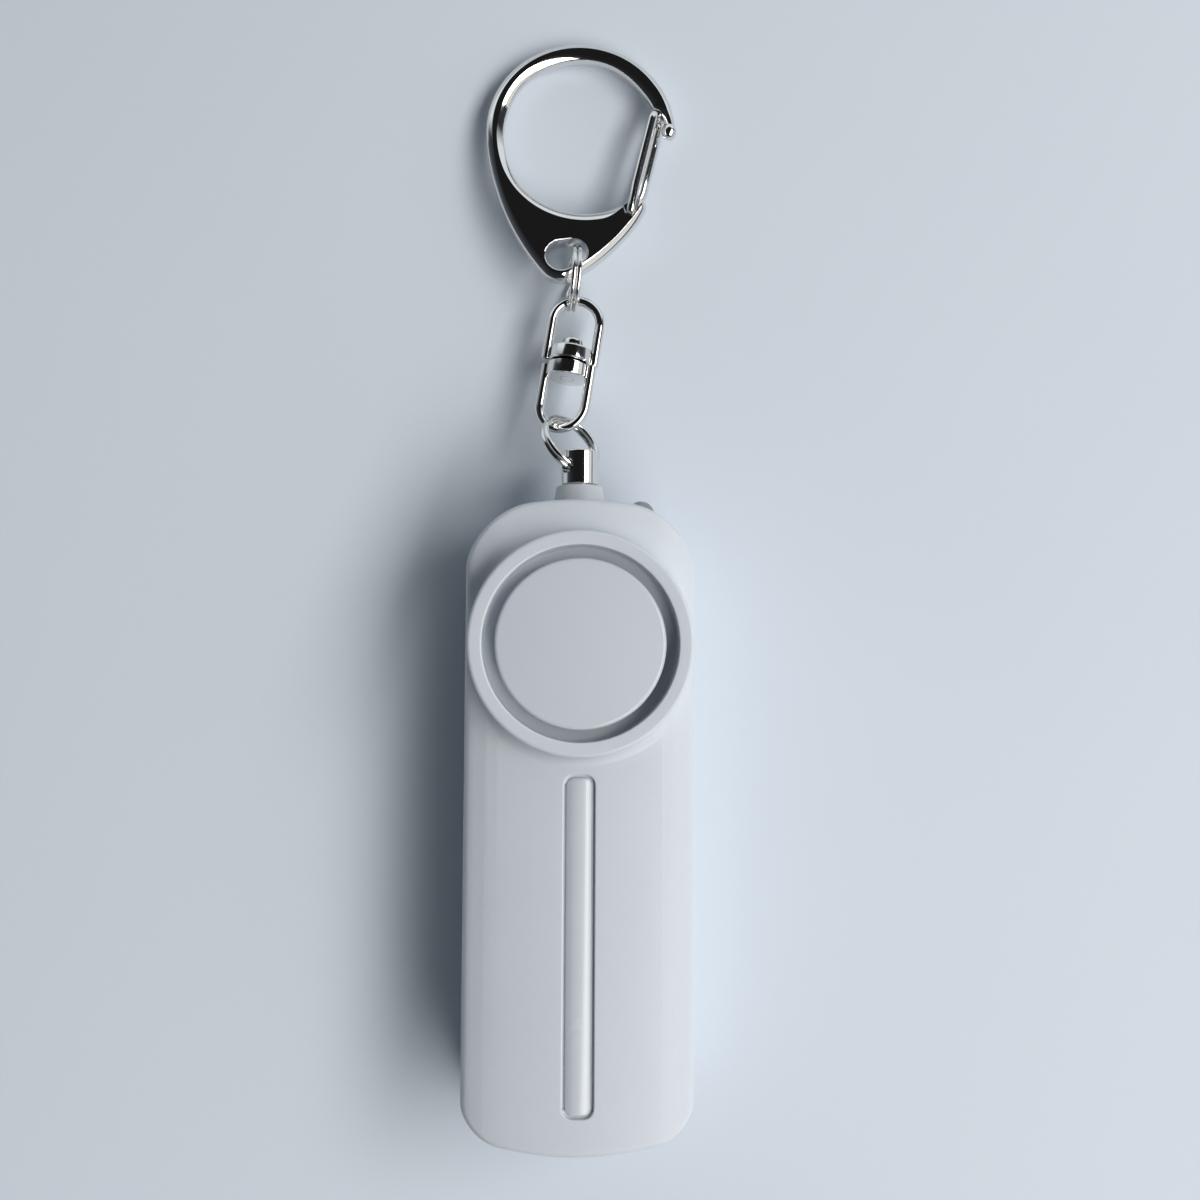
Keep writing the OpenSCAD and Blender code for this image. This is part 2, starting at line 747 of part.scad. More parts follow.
module swivel_upper_loop() color("silver")
    at_swivel() translate([0, swivel_mid, 0]) swivel_half(rivet_d / 2 + rivet_slack);

module swivel_rivet() color("silver") at_swivel() translate([0, swivel_mid, 0]) along_y(0, 0) {
    seat = ferrule_gap / 2 + ferrule_h;
    translate([0, 0, -seat]) cylinder(d = rivet_d, h = 2 * seat + 0.2);
    translate([0, 0, seat + 0.1]) rotate_extrude() intersection() {
        square([rivet_head_r, rivet_head_h]);
        translate([0, rivet_head_h - 2 * rivet_head_r]) circle(2 * rivet_head_r);
    }
}

// Snap clip

// Where two circles of radius ra about a and rb about b meet, on the left of a to b.
function circles_meet(a, ra, b, rb) =
    let (d = norm(b - a), along = (ra * ra - rb * rb + d * d) / (2 * d),
         off = sqrt(ra * ra - along * along), h = heading(b - a))
    a + along * turned(h) + off * turned(h + 90);

// An arc about c from point to point, the way the angle grows, or shrinks where back is 1.
function sweep(c, r, from, to, back = 0) =
    let (a = heading(from - c), b = heading(to - c),
         end = back > 0 ? (b < a ? b : b - 360) : (b > a ? b : b + 360))
    arc(c, r, a, end, 8, 0);

// Two circles with a bowed flank that touches both: the flank's centre and its two ends.
function flank_centre(a, ra, b, rb, bow_r) = circles_meet(a, bow_r - ra, b, bow_r - rb);
function touch(centre, c, r) = c + r * turned(heading(c - centre));

// The eye is two rounds of different size inside their common outline.
module clip_eye() {
    lean = acos((eye_r - eye_side_r) / norm(eye_side_c - eye_c));
    way = heading(eye_side_c - eye_c);
    polygon(concat(arc(eye_c, eye_r, way + lean, way - lean + 360),
                   arc(eye_side_c, eye_side_r, way - lean, way + lean)));
}

// The clip's outline runs round the ring, down the left flank, round the tip and up the right
// flank to the ear, then back round the opening to the hook's lip and nose.
module clip_outline() {
    nose_x = clip_ring_c[0] + sqrt(pow(clip_ring_r - nose_r, 2) - pow(nose_v - clip_ring_c[1], 2));
    nose_c = [nose_x, nose_v];
    knob_c = [nose_x - nose_r, nose_v];
    left_c = flank_centre(clip_ring_c, clip_ring_r, clip_tip_c, clip_tip_r, clip_flank_r);
    right_c = flank_centre(clip_tip_c, clip_tip_r, clip_ear_c, clip_ear_r, clip_chin_r);
    ring_start = touch(clip_ring_c, nose_c, nose_r);
    ring_end = touch(left_c, clip_ring_c, clip_ring_r);
    tip_start = touch(left_c, clip_tip_c, clip_tip_r);
    tip_end = touch(right_c, clip_tip_c, clip_tip_r);
    ear_start = touch(right_c, clip_ear_c, clip_ear_r);
    ear_end = circles_meet(clip_ear_c, clip_ear_r, clip_hole_c, clip_hole_r);
    knob_start = circles_meet(clip_hole_c, clip_hole_r, knob_c, lip_knob_r);
    knob_end = circles_meet(nose_c, nose_r, knob_c, lip_knob_r);
    difference() {
        polygon(concat(sweep(clip_ring_c, clip_ring_r, ring_start, ring_end),
                       sweep(left_c, clip_flank_r, ring_end, tip_start),
                       sweep(clip_tip_c, clip_tip_r, tip_start, tip_end),
                       sweep(right_c, clip_chin_r, tip_end, ear_start),
                       sweep(clip_ear_c, clip_ear_r, ear_start, ear_end),
                       sweep(clip_hole_c, clip_hole_r, ear_end, knob_start, 1),
                       sweep(knob_c, lip_knob_r, knob_start, knob_end),
                       sweep(nose_c, nose_r, knob_end, ring_start)));
        clip_eye();
    }
}

function gate_point(lean, along, across) =
    gate_pivot + along * turned(90 - lean) + across * turned(-lean);

module gate_pocket() linear_extrude(clip_t) {
    open_lean = gate_lean - gate_travel;
    translate(gate_pivot) circle(pocket_half + 0.1);
    polygon([gate_point(gate_lean, 0, pocket_half), gate_point(gate_lean, pocket_reach, pocket_half),
             gate_point(open_lean, pocket_reach, -pocket_half), gate_point(open_lean, 0, -pocket_half)]);
}

module clip_body() color("silver") at_clip() difference() {
    translate([0, 0, -clip_t / 2]) linear_extrude(clip_t) clip_outline();
    translate([0, 0, tongue_t / 2]) gate_pocket();
    translate([0, 0, -tongue_t / 2 - clip_t]) gate_pocket();
    translate(concat(gate_pivot, -clip_t)) cylinder(r = gate_pin_r + gate_slack, h = 2 * clip_t);
}

// The gate's bent wire: foot, leg, round top, leg and foot, in the plane of its two legs.
module gate_wire() color("silver") at_clip() {
    along = concat(turned(90 - gate_lean), 0);
    across = concat(turned(-gate_lean), 0);
    top = gate_length - gate_leg_z;
    foot = [for (a = [180:-22.5:90])
        [gate_foot_r + gate_foot_r * cos(a), gate_leg_z - gate_foot_r + gate_foot_r * sin(a), -gate_splay]];
    bow = [for (a = [90:-15:-90])
        [top + gate_leg_z * cos(a), gate_leg_z * sin(a), -gate_splay * sin(a)]];
    back = [for (i = [len(foot) - 1:-1:0]) [foot[i][0], -foot[i][1], gate_splay]];
    shift = [for (p = concat(foot, bow, back))
        concat(gate_pivot, 0) + p[0] * along + [0, 0, p[1]]
            + p[2] * min(1, p[0] / (3 * gate_foot_r)) * across];
    tube(shift, gate_wire_d / 2, across);
    for (side = [0, 1]) mirror([0, 0, side])
        translate(concat(gate_pivot, 0.15)) cylinder(r = gate_pin_r, h = gate_leg_z - gate_foot_r);
}

front_shell();
rear_shell();
battery_door();
door_screw();
case_screws();
siren_cap();
light_strip();
strobe_led();
led_leads();
pin_collar();
circuit_board();
strip_leds();
boost_coil();
driver_chip();
capacitor();
piezo_plate();
piezo_ceramic();
sounder_seat();
pin_switch();
switch_plunger();
battery_left();
battery_right();
contact_springs();
contact_plates();
pull_pin();
pin_oring();
lower_split_ring();
swivel_lower_loop();
swivel_rivet();
swivel_upper_loop();
upper_split_ring();
clip_body();
gate_wire();
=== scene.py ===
import math

import bmesh
import bpy
from mathutils import Matrix, Vector


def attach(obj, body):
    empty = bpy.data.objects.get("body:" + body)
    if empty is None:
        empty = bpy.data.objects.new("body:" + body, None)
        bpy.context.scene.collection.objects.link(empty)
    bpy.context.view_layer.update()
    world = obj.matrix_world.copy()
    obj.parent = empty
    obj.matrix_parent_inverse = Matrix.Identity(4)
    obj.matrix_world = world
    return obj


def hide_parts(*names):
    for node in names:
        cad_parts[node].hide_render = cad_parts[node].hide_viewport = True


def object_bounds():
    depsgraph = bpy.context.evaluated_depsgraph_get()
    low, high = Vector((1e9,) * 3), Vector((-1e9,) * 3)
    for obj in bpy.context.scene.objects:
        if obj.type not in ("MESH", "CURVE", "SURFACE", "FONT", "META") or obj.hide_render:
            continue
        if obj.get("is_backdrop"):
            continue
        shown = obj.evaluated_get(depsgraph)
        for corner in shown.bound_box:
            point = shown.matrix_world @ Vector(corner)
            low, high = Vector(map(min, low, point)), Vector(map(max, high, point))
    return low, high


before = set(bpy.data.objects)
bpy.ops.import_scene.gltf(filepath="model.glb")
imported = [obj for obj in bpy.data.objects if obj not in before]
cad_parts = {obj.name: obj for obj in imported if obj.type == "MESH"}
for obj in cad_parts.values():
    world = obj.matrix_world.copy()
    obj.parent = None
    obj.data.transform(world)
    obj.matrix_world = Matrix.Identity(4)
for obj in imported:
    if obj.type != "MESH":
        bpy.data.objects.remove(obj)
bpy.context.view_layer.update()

# Table and light
# The alarm lies on its back on pale card. A broad window stands on the right, a pale wall
# behind the clip's end, and the ceiling is dark, which flat metal mirrors.
scene = bpy.context.scene
scene.view_settings.view_transform = "Standard"


def shader_node(tree, kind, **inputs):
    made = tree.nodes.new(kind)
    for name, value in inputs.items():
        made.inputs[name.replace("_", " ")].default_value = value
    return made


def new_material(name):
    material = bpy.data.materials.new(name)
    material.use_nodes = True
    return material, material.node_tree, material.node_tree.nodes["Principled BSDF"]


card, tree, surface = new_material("pale_card")
place_in = shader_node(tree, "ShaderNodeTexCoord")
cloud = shader_node(tree, "ShaderNodeTexNoise", Scale=9.0, Detail=3.0)
tint = tree.nodes.new("ShaderNodeValToRGB")
tint.color_ramp.elements[0].color = (0.59, 0.648, 0.72, 1)
tint.color_ramp.elements[1].color = (0.63, 0.686, 0.752, 1)
fibre = shader_node(tree, "ShaderNodeTexNoise", Scale=1400.0, Detail=2.0)
nap = shader_node(tree, "ShaderNodeBump", Strength=0.12, Distance=0.0001)
surface.inputs["Roughness"].default_value = 0.85
surface.inputs["Specular IOR Level"].default_value = 0.2
for start, end in ((place_in.outputs["Object"], cloud.inputs["Vector"]),
                   (place_in.outputs["Object"], fibre.inputs["Vector"]),
                   (cloud.outputs["Fac"], tint.inputs["Fac"]),
                   (tint.outputs["Color"], surface.inputs["Base Color"]),
                   (fibre.outputs["Fac"], nap.inputs["Height"]),
                   (nap.outputs["Normal"], surface.inputs["Normal"])):
    tree.links.new(start, end)

sheet = bmesh.new()
bmesh.ops.create_grid(sheet, x_segments=4, y_segments=4, size=3.0)
sheet_mesh = bpy.data.meshes.new("card_sheet")
sheet.to_mesh(sheet_mesh)
sheet.free()
sheet_mesh.materials.append(card)
table = bpy.data.objects.new("card_sheet", sheet_mesh)
table.location.z = -0.00005
scene.collection.objects.link(table)
table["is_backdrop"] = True

room = bpy.data.worlds.new("room")
room.use_nodes = True
scene.world = room
tree = room.node_tree
direction = shader_node(tree, "ShaderNodeTexCoord")
parts_of = shader_node(tree, "ShaderNodeSeparateXYZ")
height_tone = tree.nodes.new("ShaderNodeValToRGB")
for spot, tone in ((0.02, (0.37, 0.41, 0.48)), (0.14, (0.075, 0.086, 0.10)),
                   (0.4, (0.03, 0.034, 0.04)), (0.8, (0.012, 0.012, 0.013))):
    stop = height_tone.color_ramp.elements.new(spot)
    stop.color = (*tone, 1)
height_tone.color_ramp.elements.remove(height_tone.color_ramp.elements[-1])
height_tone.color_ramp.elements.remove(height_tone.color_ramp.elements[0])
far_wall = shader_node(tree, "ShaderNodeMapRange", From_Min=0.45, From_Max=0.6)
wall_top = shader_node(tree, "ShaderNodeMapRange", From_Min=0.66, From_Max=0.56)
wall_mask = tree.nodes.new("ShaderNodeMath")
wall_mask.operation = "MULTIPLY"
wall_mix = tree.nodes.new("ShaderNodeMix")
wall_mix.data_type = "RGBA"
wall_mix.inputs[7].default_value = (0.80, 0.86, 0.90, 1)
for start, end in ((direction.outputs["Generated"], parts_of.inputs["Vector"]),
                   (parts_of.outputs["Z"], height_tone.inputs["Fac"]),
                   (parts_of.outputs["Y"], far_wall.inputs["Value"]),
                   (parts_of.outputs["Z"], wall_top.inputs["Value"]),
                   (far_wall.outputs["Result"], wall_mask.inputs[0]),
                   (wall_top.outputs["Result"], wall_mask.inputs[1]),
                   (wall_mask.outputs["Value"], wall_mix.inputs["Factor"]),
                   (height_tone.outputs["Color"], wall_mix.inputs[6]),
                   (wall_mix.outputs[2], tree.nodes["Background"].inputs["Color"])):
    tree.links.new(start, end)

for name, up, high, wide, energy in (("window", 53.5, 0.42, 1.5, 12.9),
                                     ("window_foot", 26.0, 0.46, 1.5, 1.7)):
    panel = bpy.data.lights.new(name, "AREA")
    panel.shape = "RECTANGLE"
    panel.size = wide
    panel.size_y = high
    panel.energy = energy
    panel.color = (1.0, 0.985, 0.965)
    stand = bpy.data.objects.new(name, panel)
    rise, swing = math.radians(up), math.radians(-22)
    stand.location = (math.cos(rise) * math.cos(swing), math.cos(rise) * math.sin(swing),
                      math.sin(rise))
    stand.rotation_euler = (-stand.location).to_track_quat("-Z", "Y").to_euler()
    scene.collection.objects.link(stand)

# Camera
# It looks almost straight down from 0.2 m, a little from the left and from below, with a
# slight roll.
pan, tilt, roll = (math.radians(a) for a in (2.085, 4.003, 0.424))
look = Vector((math.sin(pan), math.sin(tilt) * math.cos(pan), -math.cos(tilt) * math.cos(pan)))
upright = Vector((0, math.cos(tilt), math.sin(tilt)))
upright = (upright - look * upright.dot(look)).normalized()
across = look.cross(upright)
right = across * math.cos(roll) + upright * math.sin(roll)
upward = upright * math.cos(roll) - across * math.sin(roll)
lens = bpy.data.cameras.new("camera")
lens.sensor_width = 36
lens.lens = 43.2
lens.clip_start = 0.005
camera = bpy.data.objects.new("camera", lens)
camera_at = (-0.004164, -0.007143, 0.2005)
camera.matrix_world = (Matrix.Translation(camera_at)
                       @ Matrix((right, upward, -look)).transposed().to_4x4())
scene.collection.objects.link(camera)
scene.camera = camera

# Front shell
# Injection-moulded white plastic with a fine orange-peel skin. A raised drum round the siren
# grows out of the bowed front in a soft cove, and a long slot below it holds the light strip.
CASE_WIDTH, CASE_LENGTH, CASE_DEPTH = 29.2, 81.7, 19.5
CASE_TOP = 18.4
CASE_MID = CASE_TOP - CASE_LENGTH / 2
CORNER_R, FOOT_CORNER_R, END_BOW_R = 8.0, 4.6, 46.0
FRONT_EDGE_R, BACK_EDGE_R = 0.8, 2.5
END_REACH = 12.0
FACE_R, SIDE_FROM, SIDE_FALL = 62.0, 10.0, 0.032
SLICE = 1.48
SPLIT_Z = CASE_DEPTH / 2
SPLIT_GAP, SPLIT_EDGE = 0.05, 0.2
WALL = 1.7
COLLAR_HOLE_R, LED_HOLE_R, LED_X = 3.65, 1.9, 8.2
DRUM_R, DRUM_TOP, LIP_R, FLOOR_Z = 14.25, 21.5, 12.36, 18.2
COVE_OUT, COVE_UP, COVE_FLAT, COVE_LIFT = 3.8, 1.45, 1.15, 0.012
FADE_FROM, FADE_OVER, RIM_SINK = 8.5, 4.5, 0.9


def bow(x, radius):
    """How far an arc of this radius falls away at x."""
    return radius - math.sqrt(radius * radius - x * x)


def ease(share):
    share = min(1.0, max(0.0, share))
    return share * share * (3 - 2 * share)


def end_share(y):
    """How far a point lies into the case's bowed ends, from 0 to 1."""
    return min(1.0, max(0.0, (abs(y - CASE_MID) + END_REACH - CASE_LENGTH / 2) / END_REACH))


def face_drop(x):
    """How far the front falls away from its crest at x."""
    return bow(x, FACE_R) + SIDE_FALL * max(0.0, abs(x) - SIDE_FROM) ** 2


def soften(bm, edges, offset, segments):
    bmesh.ops.bevel(bm, geom=edges, offset=offset, offset_type="OFFSET", segments=segments,
                    profile=0.5, affect="EDGES", material=-1, clamp_overlap=False)


def slice_at(bm, spot, way, **kept):
    """Cuts new edges where a plane crosses the shape."""
    bmesh.ops.bisect_plane(bm, geom=bm.verts[:] + bm.edges[:] + bm.faces[:], dist=1e-4,
                           plane_co=spot, plane_no=way, **kept)


def case_blank(inset):
    """The closed case, drawn in on all sides by an inset."""
    bm = bmesh.new()
    end_y = CASE_TOP - CASE_LENGTH + inset
    size = Matrix.Diagonal((CASE_WIDTH - 2 * inset, CASE_LENGTH - 2 * inset,
                            CASE_DEPTH - 2 * inset, 1))
    bmesh.ops.create_cube(bm, size=1.0, matrix=Matrix.Translation((0, CASE_MID, SPLIT_Z)) @ size)
    upright = [e for e in bm.edges if abs(e.verts[0].co.z - e.verts[1].co.z) > 1]
    soften(bm, [e for e in upright if e.verts[0].co.y > CASE_MID], CORNER_R - inset, 14)
    upright = [e for e in bm.edges if abs(e.verts[0].co.z - e.verts[1].co.z) > 1]
    soften(bm, [e for e in upright if e.verts[0].co.y < end_y + 0.01], FOOT_CORNER_R - inset, 10)
    top = CASE_DEPTH - inset - 0.01
    soften(bm, [e for e in bm.edges if min(v.co.z for v in e.verts) > top],
           max(0.3, FRONT_EDGE_R - inset), 5)
    soften(bm, [e for e in bm.edges if max(v.co.z for v in e.verts) < inset + 0.01],
           BACK_EDGE_R - inset / 2, 6)
    for k in range(-9, 10):
        slice_at(bm, (SLICE * k, 0, 0), (1, 0, 0))
    for v in bm.verts:
        x, y, z = v.co
        if z > SPLIT_Z:
            v.co.z = SPLIT_Z + (z - SPLIT_Z) * (1 - face_drop(x) / SPLIT_Z)
        v.co.y = y - math.copysign(bow(x, END_BOW_R) * end_share(y), y - CASE_MID)
    return bm


def front_height(x, y):
    """Height of the bowed front at a point, with its rounded edges."""
    far = abs(y + bow(min(abs(x), 14.5), END_BOW_R) * end_share(y) - CASE_MID)
    qx = abs(x) - (CASE_WIDTH / 2 - CORNER_R)
    qy = far - (CASE_LENGTH / 2 - CORNER_R)
    if qx > 0 and qy > 0:
        inside = CORNER_R - math.hypot(qx, qy)
    else:
        inside = min(CASE_WIDTH / 2 - abs(x), CASE_LENGTH / 2 - far)
    short = min(FRONT_EDGE_R, max(0.0, FRONT_EDGE_R - inside))
    z = CASE_DEPTH - FRONT_EDGE_R + math.sqrt(FRONT_EDGE_R ** 2 - short ** 2)
    return SPLIT_Z + (z - SPLIT_Z) * (1 - face_drop(x) / SPLIT_Z)


def arc(cx, cy, r, start, end, steps):
    turns = [math.radians(start + (end - start) * k / steps) for k in range(steps + 1)]
    return [(cx + r * math.cos(a), cy + r * math.sin(a)) for a in turns]


def lathe(profile, steps=96):
    bm = bmesh.new()
    line = [bm.verts.new((r, 0, z)) for r, z in profile]
    edges = [bm.edges.new(pair) for pair in zip(line, line[1:])]
    bmesh.ops.spin(bm, geom=line + edges, cent=(0, 0, 0), axis=(0, 0, 1), angle=2 * math.pi,
                   steps=steps, use_merge=True)
    bmesh.ops.remove_doubles(bm, verts=bm.verts[:], dist=1e-4)
    bmesh.ops.recalc_face_normals(bm, faces=bm.faces[:])
    return bm


def siren_drum():
    """The drum ring with its floor. Its cove follows the case's front and fades at the sides."""
    marks = {}
    profile = [(0, FLOOR_Z), (11.9, FLOOR_Z)]
    profile += arc(LIP_R - 0.35, FLOOR_Z + 0.35, 0.35, -90, 0, 4)
    profile += arc(LIP_R + 0.2, DRUM_TOP - 0.2, 0.2, 180, 90, 4)
    profile += arc(DRUM_R - 0.5, DRUM_TOP - 0.5, 0.5, 90, 0, 6)
    for k in range(11):
        marks[len(profile)] = 9.0 * k
        profile.append((DRUM_R + 0.01 * k, 14.0 - 0.1 * k))
    rim = len(profile)
    marks[rim] = 90.0
    profile.append((DRUM_R + 0.11, 12.5))
    keys = {(round(r, 3), round(z, 3)): i for i, (r, z) in enumerate(profile)}
    bm = lathe(profile + [(0, 12.0)], 144)
    for v in bm.verts:
        reach = math.hypot(v.co.x, v.co.y)
        i = keys.get((round(reach, 3), round(v.co.z, 3)))
        if i not in marks:
            continue
        ux, uy = v.co.x / reach, v.co.y / reach
        cove = 0.03 + 0.97 * (1 - ease((DRUM_R * abs(ux) - FADE_FROM) / FADE_OVER))
        turn = math.radians(marks[i])
        out = COVE_OUT * cove * (0.65 + 0.35 * uy)
        reach = DRUM_R + out * (1 - max(0.0, math.cos(turn)) ** COVE_FLAT)
        lift = COVE_UP * cove * (1 - math.sin(turn) ** COVE_FLAT) + COVE_LIFT
        if i == rim:
            lift -= RIM_SINK
        x, y = ux * reach, uy * reach
        v.co = (x, y, front_height(x, y) + lift)
    return bm


def combine(base, tool, operation):
    """Joins or cuts two solids. Both are used up."""
    worked = []
    for bm in (base, tool):
        mesh = bpy.data.meshes.new("work")
        bm.to_mesh(mesh)
        bm.free()
        worked.append(bpy.data.objects.new("work", mesh))
        scene.collection.objects.link(worked[-1])
    join = worked[0].modifiers.new("join", "BOOLEAN")
    join.object, join.operation, join.solver = worked[1], operation, "EXACT"
    bpy.context.view_layer.update()
    made = bmesh.new()
    made.from_object(worked[0], bpy.context.evaluated_depsgraph_get())
    for obj in worked:
        mesh = obj.data
        bpy.data.objects.remove(obj)
        bpy.data.meshes.remove(mesh)
    return made


def round_rect(half_w, low, high, r, steps=6):
    """A rounded rectangle that can be grown on all sides."""
    def outline(grow):
        corners = ((half_w - r, high - r, 0), (r - half_w, high - r, 90),
                   (r - half_w, low + r, 180), (half_w - r, low + r, 270))
        return [p for x, y, turn in corners for p in arc(x, y, r + grow, turn, turn + 90, steps)]
    return outline


def stack(outline, levels):
    """A solid over one outline, whose levels give a height and a growth."""
    bm = bmesh.new()
    below = None
    for z, grow in levels:
        ring = [bm.verts.new((x, y, z)) for x, y in outline(grow)]
        edges = [bm.edges.new((ring[k - 1], ring[k])) for k in range(len(ring))]
        if below:
            bmesh.ops.bridge_loops(bm, edges=below + edges)
        else:
            bm.faces.new(ring)
        below = edges
    bm.faces.new(ring)
    bmesh.ops.recalc_face_normals(bm, faces=bm.faces[:])
    return bm


def rod(r, low, high, at=(0, 0), steps=48):
    bm = lathe([(0, low), (r, low), (r, high), (0, high)], steps)
    bmesh.ops.translate(bm, vec=(*at, 0), verts=bm.verts[:])
    return bm


def turned(degrees, axis):
    return Matrix.Rotation(math.radians(degrees), 4, axis)


ALONG_Y = turned(-90, "X")


def laid(bm, x, z):
    """Lays a turned shape along +Y at x, z."""
    bmesh.ops.transform(bm, matrix=Matrix.Translation((x, 0, z)) @ ALONG_Y, verts=bm.verts[:])
    return bm


def half_case(bm, keep_front):
    """The front or back half of a closed case, with the two holes in its clip end."""
    side = 1 if keep_front else -1
    level = SPLIT_Z + side * SPLIT_GAP
    slice_at(bm, (0, 0, level), (0, 0, side), clear_inner=True)
    bmesh.ops.contextual_create(bm, geom=[e for e in bm.edges if e.is_boundary])
    rim = [e for e in bm.edges if all(abs(v.co.z - level) < 1e-4 for v in e.verts)]
    soften(bm, rim, SPLIT_EDGE, 2)
    bm = combine(bm, laid(rod(COLLAR_HOLE_R, 13, 22), 0, SPLIT_Z), "DIFFERENCE")
    return combine(bm, laid(rod(LED_HOLE_R, 13, 22), LED_X, SPLIT_Z), "DIFFERENCE")


def place(bm, name, body, slot, material, *nodes, matrix=None, sharp=35, even=False):
    """Brings a shape to its place in metres, with its finish, body and CAD nodes."""
    size = Matrix.Scale(0.001, 4)
    bmesh.ops.transform(bm, matrix=size @ matrix if matrix else size, verts=bm.verts[:])
    for face in bm.faces:
        face.smooth = True
    mesh = bpy.data.meshes.new(name)
    bm.to_mesh(mesh)
    bm.free()
    mesh.set_sharp_from_angle(angle=math.radians(sharp))
    mesh.materials.append(material)
    obj = bpy.data.objects.new(name, mesh)
    scene.collection.objects.link(obj)
    if even:
        weigh = obj.modifiers.new("even_shade", "WEIGHTED_NORMAL")
        weigh.keep_sharp = True
    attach(obj, body)
    if nodes:
        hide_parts(*nodes)
    return obj


def skin_group():
    """Slow tint, roughness drift and a fine skin for moulded or plated surfaces."""
    group = bpy.data.node_groups.new("surface_skin", "ShaderNodeTree")
    sockets = (("Vector", "INPUT", "NodeSocketVector"), ("Light", "INPUT", "NodeSocketColor"),
               ("Dark", "INPUT", "NodeSocketColor"), ("Smooth", "INPUT", "NodeSocketFloat"),
               ("Rough", "INPUT", "NodeSocketFloat"), ("Patch", "INPUT", "NodeSocketFloat"),
               ("Grain", "INPUT", "NodeSocketFloat"), ("Colour", "OUTPUT", "NodeSocketColor"),
               ("Roughness", "OUTPUT", "NodeSocketFloat"), ("Height", "OUTPUT", "NodeSocketFloat"))
    for name, way, kind in sockets:
        group.interface.new_socket(name, in_out=way, socket_type=kind)
    enter = group.nodes.new("NodeGroupInput")
    leave = group.nodes.new("NodeGroupOutput")
    patch = shader_node(group, "ShaderNodeTexNoise", Detail=4.0, Roughness=0.6)
    grain = shader_node(group, "ShaderNodeTexNoise", Detail=2.0, Roughness=0.5)
    blend = group.nodes.new("ShaderNodeMix")
    blend.data_type = "RGBA"
    drift = group.nodes.new("ShaderNodeMapRange")
    for start, end in ((enter.outputs["Vector"], patch.inputs["Vector"]),
                       (enter.outputs["Vector"], grain.inputs["Vector"]),
                       (enter.outputs["Patch"], patch.inputs["Scale"]),
                       (enter.outputs["Grain"], grain.inputs["Scale"]),
                       (patch.outputs["Fac"], blend.inputs["Factor"]),
                       (enter.outputs["Dark"], blend.inputs[6]),
                       (enter.outputs["Light"], blend.inputs[7]),
                       (patch.outputs["Fac"], drift.inputs["Value"]),
                       (enter.outputs["Smooth"], drift.inputs["To Min"]),
                       (enter.outputs["Rough"], drift.inputs["To Max"]),
                       (blend.outputs[2], leave.inputs["Colour"]),
                       (drift.outputs["Result"], leave.inputs["Roughness"]),
                       (grain.outputs["Fac"], leave.inputs["Height"])):
        group.links.new(start, end)
    return group


SKIN = skin_group()


def finish_of(name, light, dark, smooth, rough, patch=120.0, grain=2200.0, bump=0.1, depth=2e-5,
              **fixed):
    """A finish built on the skin group. The fixed values go on the shader's own sockets."""
    material, tree, surface = new_material(name)
    where = tree.nodes.new("ShaderNodeTexCoord")
    skin = tree.nodes.new("ShaderNodeGroup")
    skin.node_tree = SKIN
    relief = shader_node(tree, "ShaderNodeBump", Strength=bump, Distance=depth)
    for socket, value in (("Light", (*light, 1)), ("Dark", (*dark, 1)), ("Smooth", smooth),
                          ("Rough", rough), ("Patch", patch), ("Grain", grain)):
        skin.inputs[socket].default_value = value
    for socket, value in fixed.items():
        surface.inputs[socket.replace("_", " ")].default_value = value
    for start, end in ((where.outputs["Object"], skin.inputs["Vector"]),
                       (skin.outputs["Colour"], surface.inputs["Base Color"]),
                       (skin.outputs["Roughness"], surface.inputs["Roughness"]),
                       (skin.outputs["Height"], relief.inputs["Height"]),
                       (relief.outputs["Normal"], surface.inputs["Normal"])):
        tree.links.new(start, end)
    return material


case_white = finish_of("case_white", (0.58, 0.62, 0.665), (0.555, 0.595, 0.645), 0.36, 0.46,
                       grain=1400.0, bump=0.45, depth=3e-5, Specular_IOR_Level=0.25,
                       Subsurface_Weight=0.3, Subsurface_Scale=0.001,
                       Subsurface_Radius=(1.0, 0.75, 1.0))

front = half_case(case_blank(0), True)
front = combine(front, rod(13.2, 17.9, 24, steps=96), "DIFFERENCE")
front = combine(front, siren_drum(), "UNION")
front = combine(front, case_blank(WALL), "DIFFERENCE")
front = combine(front, rod(10.8, 14.7, 17.7, steps=96), "DIFFERENCE")
SLOT_HALF, SLOT_LOW, SLOT_HIGH, SLOT_R = 1.95, -58.6, -16.4, 1.3
slot_rim = [(CASE_DEPTH + z, grow) for grow, z in arc(0.2, -0.2, 0.2, 180, 90, 5)]
slot = stack(round_rect(SLOT_HALF, SLOT_LOW, SLOT_HIGH, SLOT_R),
             [(14, 0)] + slot_rim + [(23, 0.21)])
for v in slot.verts:
    if abs(v.co.z - CASE_DEPTH) < 1:
        v.co.z -= face_drop(v.co.x)
front = combine(front, slot, "DIFFERENCE")
PORT_R, PORT_RING = 1.3, 5.2
for spot in arc(0, 0, PORT_RING, 0, 300, 5):
    front = combine(front, rod(PORT_R, 15, 20, spot, 24), "DIFFERENCE")
place(front, "front_shell_moulding", "case", "case_plastic", case_white, "front_shell", even=True)

